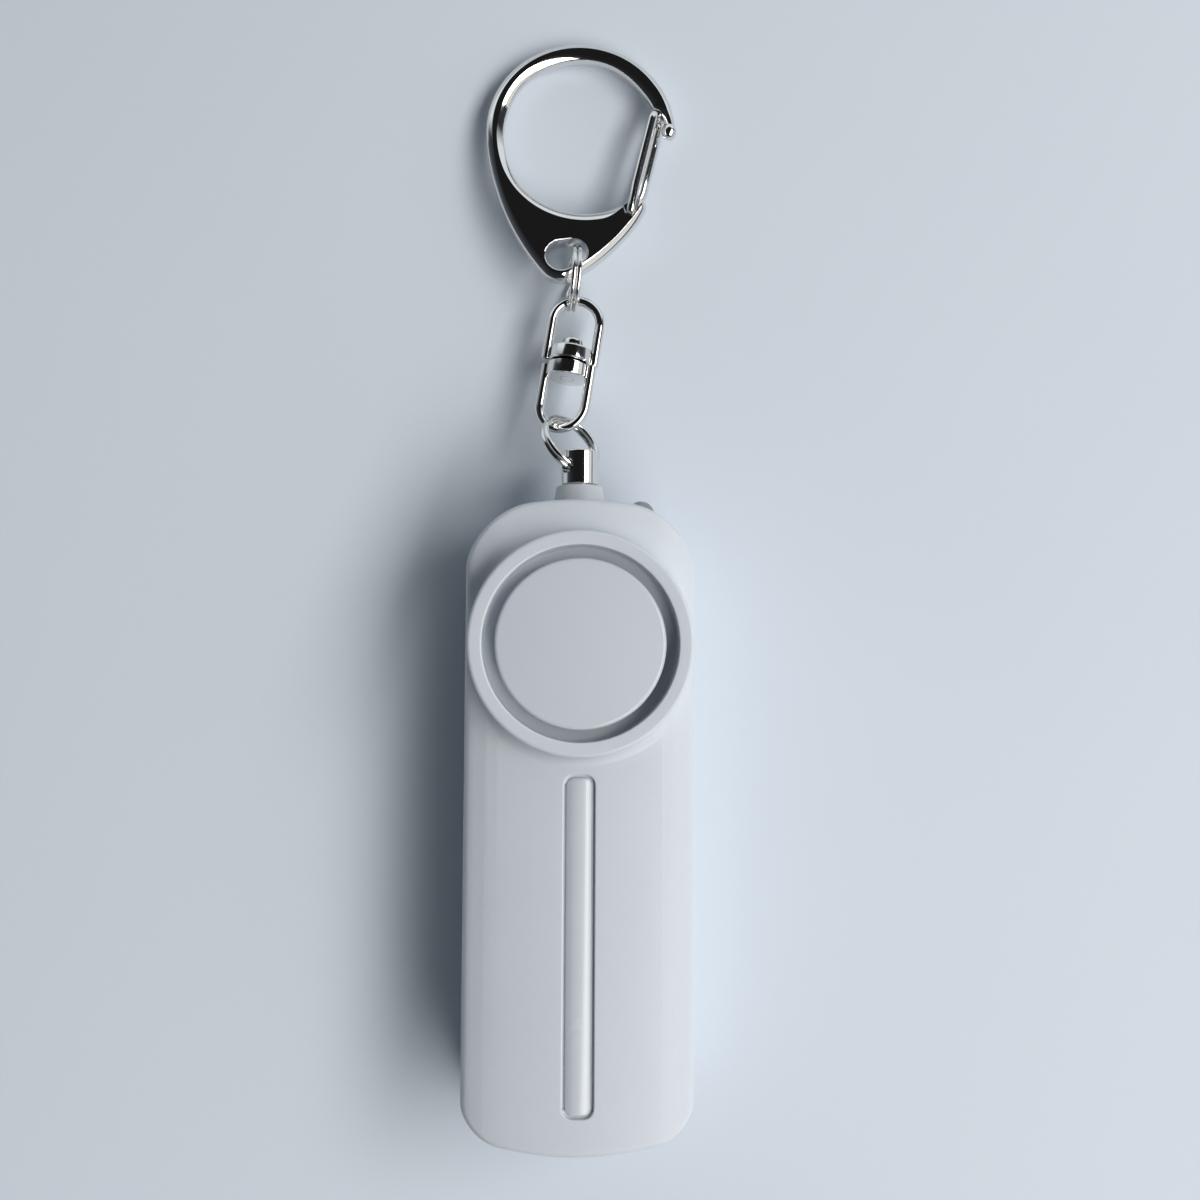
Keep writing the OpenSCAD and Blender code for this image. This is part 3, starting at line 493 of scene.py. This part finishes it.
# Rear shell
# The other half of the case, of the same plastic, flat on its back. It has a recess for the
# battery door, the battery bay behind it, and sunk holes for four screws.
DOOR_HALF, DOOR_LOW, DOOR_HIGH = 11.4, -59.9, -12.2
LUG_HALF, LUG_HIGH = 4.0, -5.8
SCREW_X, SCREW_YS = 9.8, (7.5, -8.1)
DOOR_SCREW_Y = -8.6
HEAD_R = 1.9
door_plan = round_rect(DOOR_HALF, DOOR_LOW, DOOR_HIGH, 2.0)
lug_plan = round_rect(LUG_HALF, DOOR_HIGH - 3, LUG_HIGH, 2.0)
bay_plan = round_rect(DOOR_HALF - 1, DOOR_LOW + 1, DOOR_HIGH - 1, 1.2)
screw_spots = [(x, y) for x in (-SCREW_X, SCREW_X) for y in SCREW_YS]


def screw_well(x, y, face, floor):
    """A sunk hole for a screw's head, open to the back, with a broken edge."""
    well = lathe([(0, -1), (HEAD_R + 0.4, -1), (HEAD_R + 0.4, face), (HEAD_R + 0.2, face + 0.2),
                  (HEAD_R + 0.2, floor), (0, floor)], 40)
    bmesh.ops.translate(well, vec=(x, y, 0), verts=well.verts[:])
    return well


rear = half_case(case_blank(0), False)
rear = combine(rear, case_blank(WALL), "DIFFERENCE")
recess = [(-1, 0.4), (0, 0.4), (0.2, 0.15)]
rear = combine(rear, stack(door_plan, recess + [(1.1, 0.15)]), "DIFFERENCE")
rear = combine(rear, stack(lug_plan, recess + [(1.6, 0.15)]), "DIFFERENCE")
rear = combine(rear, stack(bay_plan, [(0.5, 0.15), (3, 0.15)]), "DIFFERENCE")
for x, y in screw_spots:
    rear = combine(rear, screw_well(x, y, 0, 1.55), "DIFFERENCE")
place(rear, "rear_shell_moulding", "case", "case_plastic", case_white, "rear_shell", even=True)

# Battery door
# A thin moulded plate that closes the battery bay. It hooks in at its foot and is held by one
# screw through the lug at its other end.
door_edge = [(0.15, -0.25), (0.22, -0.08), (0.4, 0)]
door = stack(door_plan, door_edge + [(1.05, 0)])
door = combine(door, stack(lug_plan, door_edge + [(1.03, 0)]), "UNION")
door = combine(door, stack(bay_plan, [(0.9, 0), (1.7, 0)]), "UNION")
door = combine(door, screw_well(0, DOOR_SCREW_Y, 0.15, 1.3), "DIFFERENCE")
place(door, "battery_door_moulding", "case", "case_plastic", case_white, "battery_door", even=True)

# Screws
# Small zinc-plated pan-head screws with a cross recess, turned in from the back: four hold the
# shells together and one holds the battery door.
screw_zinc = finish_of("screw_zinc", (0.62, 0.62, 0.63), (0.5, 0.5, 0.52), 0.22, 0.38, patch=700.0,
                       grain=5200.0, bump=0.1, Metallic=1.0)


def screw_shape(head_h, length):
    """A pan-head screw with its head at the back and its point inside."""
    bm = lathe([(0, 0.25), (HEAD_R - 0.45, 0.25), (HEAD_R - 0.12, 0.37), (HEAD_R, 0.62),
                (HEAD_R, 0.25 + head_h), (0.95, 0.25 + head_h), (0.95, length - 0.8),
                (0.35, length), (0, length)], 40)
    for turn in (0, 90):
        arm = bmesh.new()
        bmesh.ops.create_cube(arm, size=1.0, matrix=turned(turn, "Z")
                              @ Matrix.Translation((0, 0, 0.3))
                              @ Matrix.Diagonal((2.2, 0.5, 1.0, 1)))
        soften(arm, [e for e in arm.edges if e.calc_length() > 0.9], 0.12, 2)
        bm = combine(bm, arm, "DIFFERENCE")
    return bm


screws = bmesh.new()
for x, y in screw_spots:
    one = screw_shape(1.25, 13.3)
    bmesh.ops.transform(one, matrix=Matrix.Translation((x, y, 0))
                        @ Matrix.Rotation(0.35 * x + y, 4, "Z"), verts=one.verts[:])
    spare = bpy.data.meshes.new("work")
    one.to_mesh(spare)
    one.free()
    screws.from_mesh(spare)
    bpy.data.meshes.remove(spare)
place(screws, "case_screw_set", "case", "screw_steel", screw_zinc, "case_screws")
door_screw = screw_shape(1.0, 6.2)
place(door_screw, "door_screw_turned", "case", "screw_steel", screw_zinc, "door_screw",
      matrix=Matrix.Translation((0, DOOR_SCREW_Y, 0)) @ Matrix.Rotation(0.5, 4, "Z"))

# Siren cap
# A glossy white disc that floats in the drum on three legs, so that the sound leaves through
# the ring groove round it. Its face is slightly domed with a soft rounded edge.
CAP_R, CAP_TOP, CAP_LOW, CAP_EDGE, DOME_R = 10.8, 21.45, 18.75, 0.5, 90.0
DOME_LEAN = math.degrees(math.asin((CAP_R - CAP_EDGE) / (DOME_R - CAP_EDGE)))
EDGE_Z = CAP_TOP - DOME_R + math.sqrt((DOME_R - CAP_EDGE) ** 2 - (CAP_R - CAP_EDGE) ** 2)
cap_white = finish_of("cap_white", (0.555, 0.60, 0.645), (0.53, 0.575, 0.625), 0.14, 0.2,
                      patch=90.0, grain=900.0, bump=0.05)
cap = lathe(arc(0, CAP_TOP - DOME_R, DOME_R, 90, 90 - DOME_LEAN, 8)
            + arc(CAP_R - CAP_EDGE, EDGE_Z, CAP_EDGE, 90 - DOME_LEAN, 0, 8)[1:]
            + arc(CAP_R - 0.2, CAP_LOW + 0.2, 0.2, 0, -90, 3) + [(0, CAP_LOW)], 128)
LEG_R, LEG_RING = 1.0, 8.4
for spot in arc(0, 0, LEG_RING, 90, 330, 2):
    cap = combine(cap, rod(LEG_R, 17.9, CAP_LOW + 0.5, spot, 24), "UNION")
place(cap, "siren_cap_disc", "case", "cap_plastic", cap_white, "siren_cap", even=True)

# Light strip
# A milky light guide that fills the slot from inside. A step all round it stops it in the slot
# and leaves a shallow line along its bowed crest.
STRIP_HALF, STRIP_TOP = 1.58, 19.35
CREST_Z, CREST_R = 18.9, 4.2
STEP_Z, STEP_LIFT = 18.4, 0.32
strip_milk = finish_of("strip_milk", (0.56, 0.60, 0.645), (0.53, 0.57, 0.62), 0.22, 0.3,
                       patch=160.0, grain=1500.0, bump=0.06)
strip = stack(round_rect(STRIP_HALF, SLOT_LOW + 0.35, SLOT_HIGH - 0.35, 0.9),
              [(16.1, 0.3), (18.5, 0.3), (18.6, 0.36), (18.6, 0.1), (18.7, 0), (19.05, 0),
               (19.17, -0.05), (19.29, -0.17), (STRIP_TOP, -0.4)])
for x in (-1.2, -0.8, -0.4, 0, 0.4, 0.8, 1.2):
    slice_at(strip, (x, 0, 0), (1, 0, 0))
for v in strip.verts:
    at_end = not SLOT_LOW + 1 < v.co.y < SLOT_HIGH - 1
    if v.co.z > CREST_Z:
        v.co.z -= bow(v.co.x, CREST_R) * (v.co.z - CREST_Z) / 0.4
    elif v.co.z > STEP_Z and (at_end or v.co.x > 1):
        v.co.z += STEP_LIFT
place(strip, "light_strip_guide", "case", "strip_plastic", strip_milk, "light_strip")

# Strobe LED
# A clear epoxy LED with a round nose, pushed out through the end of the case beside the pin.
# Its two leads run back to the circuit board and hold it.
LED_R, LED_TIP = 1.8, 19.45
led_epoxy = finish_of("led_epoxy", (0.45, 0.47, 0.49), (0.36, 0.38, 0.40), 0.06, 0.12, patch=400.0,
                      grain=1200.0, bump=0.03, Transmission_Weight=0.55, IOR=1.53)
led = lathe([(0, LED_TIP - 7.2), (LED_R + 0.05, LED_TIP - 7.2), (LED_R + 0.05, LED_TIP - 6.3),
             (LED_R, LED_TIP - 6.3)]
            + arc(0, LED_TIP - LED_R, LED_R, 0, 90, 12), 48)
place(laid(led, LED_X, SPLIT_Z), "strobe_led_dome", "case", "led_resin", led_epoxy, "strobe_led")

# Pin collar
# A tapered white bush that guides the pull pin. A flange at its foot holds it between the
# shells, and its mouth is rounded.
collar_white = finish_of("collar_white", (0.55, 0.585, 0.615), (0.525, 0.56, 0.59), 0.28, 0.38,
                         grain=2100.0, bump=0.12)
FLANGE_Y = 14.3
collar = lathe([(1.95, FLANGE_Y), (4.2, FLANGE_Y), (4.2, FLANGE_Y + 2.2), (3.6, FLANGE_Y + 2.2),
                (3.6, CASE_TOP)]
               + arc(2.85, 21.05, 0.25, 15, 90, 4) + arc(2.15, 21.1, 0.2, 90, 180, 4)
               + [(1.95, FLANGE_Y)], 72)
place(laid(collar, 0, SPLIT_Z), "pin_collar_bush", "case", "collar_plastic", collar_white,
      "pin_collar")

# Inside the case
# Circuit board, sounder, switch, cells and contacts sit out of sight between the shells. Their
# solids are right as they are and get the finish of each real part.
inside = {
    "circuit_board": finish_of("green_laminate", (0.03, 0.16, 0.07), (0.02, 0.11, 0.05), 0.35, 0.5,
                               patch=900.0, grain=3000.0),
    "strip_leds": finish_of("chip_phosphor", (0.78, 0.7, 0.3), (0.7, 0.6, 0.22), 0.3, 0.45),
    "boost_coil": finish_of("ferrite_grey", (0.09, 0.09, 0.1), (0.06, 0.06, 0.065), 0.55, 0.75),
    "driver_chip": finish_of("chip_black", (0.025, 0.025, 0.028), (0.015, 0.015, 0.017), 0.4, 0.6),
    "capacitor": finish_of("can_aluminium", (0.62, 0.63, 0.66), (0.52, 0.53, 0.56), 0.25, 0.4,
                           Metallic=1.0),
    "piezo_plate": finish_of("piezo_brass", (0.72, 0.55, 0.25), (0.6, 0.44, 0.18), 0.25, 0.45,
                             Metallic=1.0),
    "piezo_ceramic": finish_of("piezo_silvered", (0.75, 0.73, 0.68), (0.66, 0.64, 0.58), 0.4, 0.55),
    "sounder_seat": finish_of("seat_rubber", (0.05, 0.05, 0.055), (0.03, 0.03, 0.035), 0.6, 0.8),
    "pin_switch": finish_of("switch_black", (0.05, 0.05, 0.055), (0.035, 0.035, 0.04), 0.4, 0.55),
    "switch_plunger": finish_of("plunger_ivory", (0.72, 0.68, 0.55), (0.66, 0.62, 0.5), 0.3, 0.45),
    "led_leads": finish_of("tinned_lead", (0.7, 0.7, 0.7), (0.58, 0.58, 0.59), 0.25, 0.4,
                           Metallic=1.0),
    "contact_plates": finish_of("contact_nickel", (0.72, 0.71, 0.68), (0.6, 0.59, 0.56), 0.2, 0.35,
                                Metallic=1.0),
    "pin_oring": finish_of("seal_black", (0.02, 0.02, 0.022), (0.012, 0.012, 0.014), 0.5, 0.65),
    "battery_left": finish_of("cell_jacket", (0.08, 0.09, 0.1), (0.055, 0.06, 0.07), 0.25, 0.38,
                              patch=300.0),
}
inside["contact_springs"] = inside["contact_plates"]
inside["battery_right"] = inside["battery_left"]
for node, material in inside.items():
    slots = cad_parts[node].data.materials
    slots.clear()
    slots.append(material)

# Pull pin
# Turned brass with bright nickel plate. The head stands on the collar and is cross-drilled for
# the ring, and the shank runs through the collar to the switch.
nickel = finish_of("bright_nickel", (0.83, 0.82, 0.80), (0.76, 0.75, 0.73), 0.045, 0.1, patch=260.0,
                   grain=1500.0, bump=0.05, depth=1e-5, Metallic=1.0)
PIN_R, SHANK_R, PIN_FOOT, PIN_TOP, PIN_END = 2.42, 1.75, 21.45, 26.15, 9.9
HOLE_Y, HOLE_R, HOLE_TURN = 24.05, 1.08, -49
pin = lathe([(0, PIN_END), (SHANK_R - 0.5, PIN_END), (SHANK_R, PIN_END + 0.5), (SHANK_R, 17.0),
             (1.02, 17.0), (1.02, 18.0), (SHANK_R, 18.0), (SHANK_R, PIN_FOOT),
             (PIN_R - 0.15, PIN_FOOT), (PIN_R, PIN_FOOT + 0.15)]
            + arc(PIN_R - 0.3, PIN_TOP - 0.3, 0.3, 0, 90, 5) + [(0, PIN_TOP)], 72)
pin = laid(pin, 0, SPLIT_Z)
drill = rod(HOLE_R, -4, 4)
bmesh.ops.transform(drill, matrix=Matrix.Translation((0, HOLE_Y, SPLIT_Z))
                    @ turned(HOLE_TURN, "Y"), verts=drill.verts[:])
pin = combine(pin, drill, "DIFFERENCE")
place(pin, "pull_pin_turned", "pin", "nickel", nickel, "pull_pin", even=True)

# Split rings
# Two double-turn rings of springy nickel-plated wire. One joins the pin to the swivel and the
# other joins the swivel to the clip.
RING_R, RING_WIRE, RING_PITCH = 4.2, 0.68, 0.72
ring_nickel = finish_of("ring_nickel", (0.80, 0.79, 0.77), (0.71, 0.70, 0.68), 0.06, 0.14,
                        patch=420.0, grain=2400.0, bump=0.05, depth=1e-5, Metallic=1.0)


def wire_start(bm, radius, matrix, segments=16):
    """The round section that a wire is drawn from."""
    ring = bmesh.ops.create_circle(bm, segments=segments, radius=radius, matrix=matrix)["verts"]
    return ring + list({e for v in ring for e in v.link_edges})


def draw(bm, geom, steps, angle=0.0, cent=(0, 0, 0), axis=(1, 0, 0), run=(0, 0, 0)):
    """Draws the wire's open end round an axis, along a run, or both."""
    made = bmesh.ops.spin(bm, geom=geom, cent=cent, axis=axis, angle=math.radians(angle),
                          dvec=Vector(run) / steps, steps=steps)
    return made["geom_last"]


def close_wire(bm):
    bmesh.ops.remove_doubles(bm, verts=bm.verts[:], dist=1e-4)
    bmesh.ops.holes_fill(bm, edges=[e for e in bm.edges if e.is_boundary], sides=0)
    bmesh.ops.recalc_face_normals(bm, faces=bm.faces[:])
    return bm


def split_ring():
    bm = bmesh.new()
    end = wire_start(bm, RING_WIRE / 2, turned(20, "X")
                     @ Matrix.Translation((-RING_PITCH / 2, RING_R, 0)))
    end = draw(bm, end, 52, 325)
    for share in (0.15, 0.35, 0.35, 0.15):
        end = draw(bm, end, 2, 7.5, run=(RING_PITCH * share, 0, 0))
    draw(bm, end, 52, 325)
    return close_wire(bm)


UPPER_HANG = (-1.10657, 46.8736, 4.8669)
lower_at = (Matrix.Translation((0, HOLE_Y, SPLIT_Z)) @ turned(HOLE_TURN, "Y") @ turned(30, "Z")
            @ Matrix.Translation((0, RING_R - 0.33, 0)) @ turned(180, "X"))
upper_at = (Matrix.Translation(UPPER_HANG) @ turned(-3.7, "Z") @ turned(4.5, "Y")
            @ Matrix.Translation((0, RING_R, 0)) @ turned(-90, "X"))
place(split_ring(), "lower_split_ring_wire", "lower_ring", "ring_steel", ring_nickel,
      "lower_split_ring", matrix=lower_at)
place(split_ring(), "upper_split_ring_wire", "upper_ring", "ring_steel", ring_nickel,
      "upper_split_ring", matrix=upper_at)

# Swivel
# Two wire loops, each set in a short turned drum, which turn on a rivet through both drums.
# All of it is nickel plated.
LOOP_WIRE, LOOP_R, LOOP_LEG = 1.32, 3.3, 6.0
DRUM_GAP, FERRULE_R, FERRULE_H = 0.125, 2.95, 2.0


def swivel_half():
    """A loop and its drum, from the swivel's middle out along +Y."""
    bm = bmesh.new()
    low = DRUM_GAP + 0.05
    end = wire_start(bm, LOOP_WIRE / 2, Matrix.Translation((LOOP_R, low, 0)) @ ALONG_Y)
    end = draw(bm, end, 1, run=(0, LOOP_LEG - low, 0))
    end = draw(bm, end, 32, 180, cent=(0, LOOP_LEG, 0), axis=(0, 0, 1))
    draw(bm, end, 1, run=(0, low - LOOP_LEG, 0))
    close_wire(bm)
    soften(bm, [e for e in bm.edges if all(abs(v.co.y - low) < 1e-3 for v in e.verts)], 0.1, 2)
    top = DRUM_GAP + FERRULE_H
    drum = lathe([(0.95, DRUM_GAP), (FERRULE_R - 0.2, DRUM_GAP), (FERRULE_R, DRUM_GAP + 0.2)]
                 + arc(FERRULE_R - 0.3, top - 0.3, 0.3, 0, 90, 5) + [(0.95, top), (0.95, DRUM_GAP)],
                 64)
    return combine(bm, laid(drum, 0, 0), "UNION")


SWIVEL_HANG = (-2.6472, 31.0388, 6.70475)
swivel_at = (Matrix.Translation(SWIVEL_HANG) @ turned(-8.8, "Z")
             @ turned(-6.6, "X") @ Matrix.Translation((0, 7.95, 0)))
place(swivel_half(), "swivel_lower_loop_wire", "swivel_lower", "nickel", nickel,
      "swivel_lower_loop", matrix=swivel_at @ turned(180, "Z") @ turned(20, "Y"), even=True)
place(swivel_half(), "swivel_upper_loop_wire", "swivel_upper", "nickel", nickel,
      "swivel_upper_loop", matrix=swivel_at, even=True)
seat = DRUM_GAP + FERRULE_H + 0.1
rivet = lathe([(0, -seat + 0.1), (0.9, -seat + 0.1), (0.9, seat), (1.4, seat), (1.5, seat + 0.1)]
              + arc(0.9, seat + 0.85, 0.6, 0, 70, 5) + [(0.5, seat + 1.55), (0, seat + 1.6)], 40)
place(laid(rivet, 0, 0), "swivel_rivet_turned", "swivel_lower", "nickel", nickel, "swivel_rivet",
      matrix=swivel_at)

# Snap clip
# A zinc casting with bright nickel plate: a ring with an open side and a pointed foot with an
# eye for the upper ring. Its edges are broken with broad polished bevels.
CLIP_T = 3.0
RING_C, CLIP_RING_R = Vector((0.6, 17.25)), 13.25
HOLE_C, CLIP_HOLE_R = Vector((1.0, 16.5)), 11.6
TIP_C, TIP_R = Vector((-2.1, -1.65)), 3.3
EAR_C, EAR_R = Vector((8.35, 6.05)), 1.35
FLANK_R, CHIN_R = 34, 28
NOSE_R = 0.75
NOSE_C = Vector((RING_C.x + math.sqrt((CLIP_RING_R - NOSE_R) ** 2 - 0.75 ** 2), 18.0))
EYE_C, EYE_R = Vector((-2.1, -1.45)), 2.1
EYE_SIDE_C, EYE_SIDE_R = Vector((-0.35, -0.95)), 1.85


def meet(a, ra, b, rb):
    """Where two circles meet, on the left of the way from a to b."""
    way = b - a
    along = (ra * ra - rb * rb + way.length_squared) / (2 * way.length)
    off = math.sqrt(ra * ra - along * along)
    way.normalize()
    return a + along * way + off * Vector((-way.y, way.x))


def touch(centre, c, r):
    return c + r * (c - centre).normalized()


def sweep(c, r, start, end, back=False, step=5.0):
    """Points on an arc from one point to another, without its last."""
    a = math.degrees(math.atan2(start.y - c.y, start.x - c.x))
    b = math.degrees(math.atan2(end.y - c.y, end.x - c.x))
    if back:
        b = b if b < a else b - 360
    else:
        b = b if b > a else b + 360
    return arc(c.x, c.y, r, a, b, max(2, math.ceil(abs(b - a) / step)))[:-1]


left_c = meet(RING_C, FLANK_R - CLIP_RING_R, TIP_C, FLANK_R - TIP_R)
right_c = meet(TIP_C, CHIN_R - TIP_R, EAR_C, CHIN_R - EAR_R)
nose_on_ring = touch(RING_C, NOSE_C, NOSE_R)
ring_to_flank = touch(left_c, RING_C, CLIP_RING_R)
flank_to_tip = touch(left_c, TIP_C, TIP_R)
tip_to_chin = touch(right_c, TIP_C, TIP_R)
chin_to_ear = touch(right_c, EAR_C, EAR_R)
ear_to_hole = meet(EAR_C, EAR_R, HOLE_C, CLIP_HOLE_R)
hole_to_nose = meet(HOLE_C, CLIP_HOLE_R, NOSE_C, NOSE_R)


def hook_side(points):
    """The opening's edge. It swells inwards at the arm and the hook and narrows at the neck."""
    shaped = []
    for x, y in points:
        way = Vector((x, y)) - HOLE_C
        turn = math.degrees(math.atan2(way.y, way.x)) % 360
        swell = 0.4 * ease((turn - 130) / 40) * ease((225 - turn) / 40)
        if turn < 90:
            swell = 0.85 * ease((85 - turn) / 50) * ease((turn - 19) / 7)
        way *= (way.length - swell) / way.length
        shaped.append((HOLE_C.x + way.x, HOLE_C.y + way.y))
    return shaped


clip_line = (sweep(RING_C, CLIP_RING_R, nose_on_ring, ring_to_flank, step=3)
             + sweep(left_c, FLANK_R, ring_to_flank, flank_to_tip, step=1.5)
             + sweep(TIP_C, TIP_R, flank_to_tip, tip_to_chin, step=8)
             + sweep(right_c, CHIN_R, tip_to_chin, chin_to_ear, step=1.5)
             + sweep(EAR_C, EAR_R, chin_to_ear, ear_to_hole, step=15)
             + hook_side(sweep(HOLE_C, CLIP_HOLE_R, ear_to_hole, hole_to_nose, back=True, step=2))
             + sweep(NOSE_C, NOSE_R, hole_to_nose, nose_on_ring, step=20))


def edge_break(at):
    """Width of the clip's bevelled edge at a point of its outline."""
    if (at - HOLE_C).length < CLIP_HOLE_R + 0.1:
        arm = CLIP_RING_R - (at - RING_C).length
        wide = min(1.3 - 0.3 * ease((at.y - 4) / 6), 0.47 * arm + ease((15 - at.y) / 6))
    else:
        wide = min(0.85, 0.47 * ((at - HOLE_C).length - CLIP_HOLE_R))
    if at.y > 12:
        return 0.45 + (wide - 0.45) * ease(((at - NOSE_C).length - 0.8) / 2)
    return 0.35 + (wide - 0.35) * ease((at - ear_to_hole).length / 4)


spots = [Vector(p) for p in clip_line]
inward = []
for before, after in zip(spots[-1:] + spots[:-1], spots[1:] + spots[:1]):
    way = (after - before).normalized()
    inward.append(Vector((-way.y, way.x)))
bevel = [(CLIP_T / 2 - drop, share) for drop, share in
         ((0.95, 0), (0.75, 0.06), (0.58, 0.185), (0.28, 0.58), (0.02, 0.95), (0, 1))]
clip = stack(lambda grow: [p + n * edge_break(p) * grow for p, n in zip(spots, inward)],
             [(-z, grow) for z, grow in reversed(bevel)] + bevel)
for v in clip.verts:
    neck = ease(1 - (v.co.xy - NOSE_C).length / 5)
    v.co.z *= (1 - 0.18 * ease((v.co.y - 7) / 8)) * (1 - 0.3 * neck)
ball = bmesh.new()
bmesh.ops.create_uvsphere(ball, u_segments=24, v_segments=16, radius=1.0,
                          matrix=Matrix.Translation((NOSE_C.x - 0.05, NOSE_C.y - 0.25, 0))
                          @ Matrix.Diagonal((1.05, 1.25, 1.15, 1)))
clip = combine(clip, ball, "UNION")

EYE_WAY = math.degrees(math.atan2(EYE_SIDE_C.y - EYE_C.y, EYE_SIDE_C.x - EYE_C.x))
EYE_LEAN = math.degrees(math.acos((EYE_R - EYE_SIDE_R) / (EYE_SIDE_C - EYE_C).length))


def eye_line(grow):
    return (arc(EYE_C.x, EYE_C.y, EYE_R + grow, EYE_WAY + EYE_LEAN, EYE_WAY - EYE_LEAN + 360, 24)
            + arc(EYE_SIDE_C.x, EYE_SIDE_C.y, EYE_SIDE_R + grow, EYE_WAY - EYE_LEAN,
                  EYE_WAY + EYE_LEAN, 20))


eye_rim = [(CLIP_T / 2 + z, grow) for grow, z in arc(0.3, -0.3, 0.3, 180, 90, 4)]
eye = stack(eye_line, [(-3, 0.3)] + [(-z, grow) for z, grow in reversed(eye_rim)] + eye_rim
            + [(3, 0.3)])
clip = combine(clip, eye, "DIFFERENCE")

GATE_PIVOT, GATE_LEAN, GATE_TRAVEL = Vector((7.5, 5.2)), 13.4, 32.0
POCKET_HALF, TONGUE_T = 0.75, 1.4


def gate_spot(lean, along, off):
    a = math.radians(90 - lean)
    return GATE_PIVOT + along * Vector((math.cos(a), math.sin(a))) + off * Vector(
        (math.sin(a), -math.cos(a)))


def pocket_line(grow):
    half = POCKET_HALF + grow
    shut, open_lean = GATE_LEAN, GATE_LEAN - GATE_TRAVEL
    foot = arc(GATE_PIVOT.x, GATE_PIVOT.y, half, 180 - open_lean, 360 - shut, 12)
    return foot + [gate_spot(shut, 4, half), gate_spot(open_lean, 4, -half)]


for side in (1, -1):
    pocket = stack(pocket_line, [(side * z, grow) for z, grow in
                                 ((TONGUE_T / 2, -0.2), (TONGUE_T / 2 + 0.2, 0), (1.35, 0),
                                  (1.6, 0.2), (3, 0.2))])
    clip = combine(clip, pocket, "DIFFERENCE")
CLIP_HANG = (-0.564501, 55.2561, 4.8669)
clip_at = Matrix.Translation(CLIP_HANG) @ turned(-6, "X")
place(clip, "snap_clip_casting", "clip", "nickel", nickel, "clip_body", matrix=clip_at, sharp=50,
      even=True)

# Gate
# A hairpin of spring wire whose two feet pivot in the clip's ear. It closes the clip's open
# side and springs shut against the inside of the hook.
GATE_WIRE, GATE_LENGTH, LEG_Z, FOOT_R = 1.2, 15.4, 1.4, 0.7
gate = bmesh.new()
end = wire_start(gate, GATE_WIRE / 2, Matrix.Translation((0, 0, 0.15)))
end = draw(gate, end, 1, run=(0, 0, LEG_Z - FOOT_R - 0.15))
end = draw(gate, end, 8, -90, cent=(0, FOOT_R, LEG_Z - FOOT_R), axis=(1, 0, 0))
end = draw(gate, end, 4, run=(0, GATE_LENGTH - LEG_Z - FOOT_R, 0))
end = draw(gate, end, 24, -180, cent=(0, GATE_LENGTH - LEG_Z, 0), axis=(1, 0, 0))
end = draw(gate, end, 4, run=(0, FOOT_R + LEG_Z - GATE_LENGTH, 0))
end = draw(gate, end, 8, -90, cent=(0, FOOT_R, FOOT_R - LEG_Z), axis=(1, 0, 0))
draw(gate, end, 1, run=(0, 0, LEG_Z - FOOT_R - 0.15))
close_wire(gate)
for v in gate.verts:
    v.co.x += (0.42 - 0.53 * v.co.z / LEG_Z) * ease(v.co.y / (3 * FOOT_R))
gate_at = clip_at @ Matrix.Translation((*GATE_PIVOT, 0)) @ turned(-GATE_LEAN, "Z")
place(gate, "gate_wire_bent", "gate", "nickel", nickel, "gate_wire", matrix=gate_at)

# The box of the shown model is measured.
low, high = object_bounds()
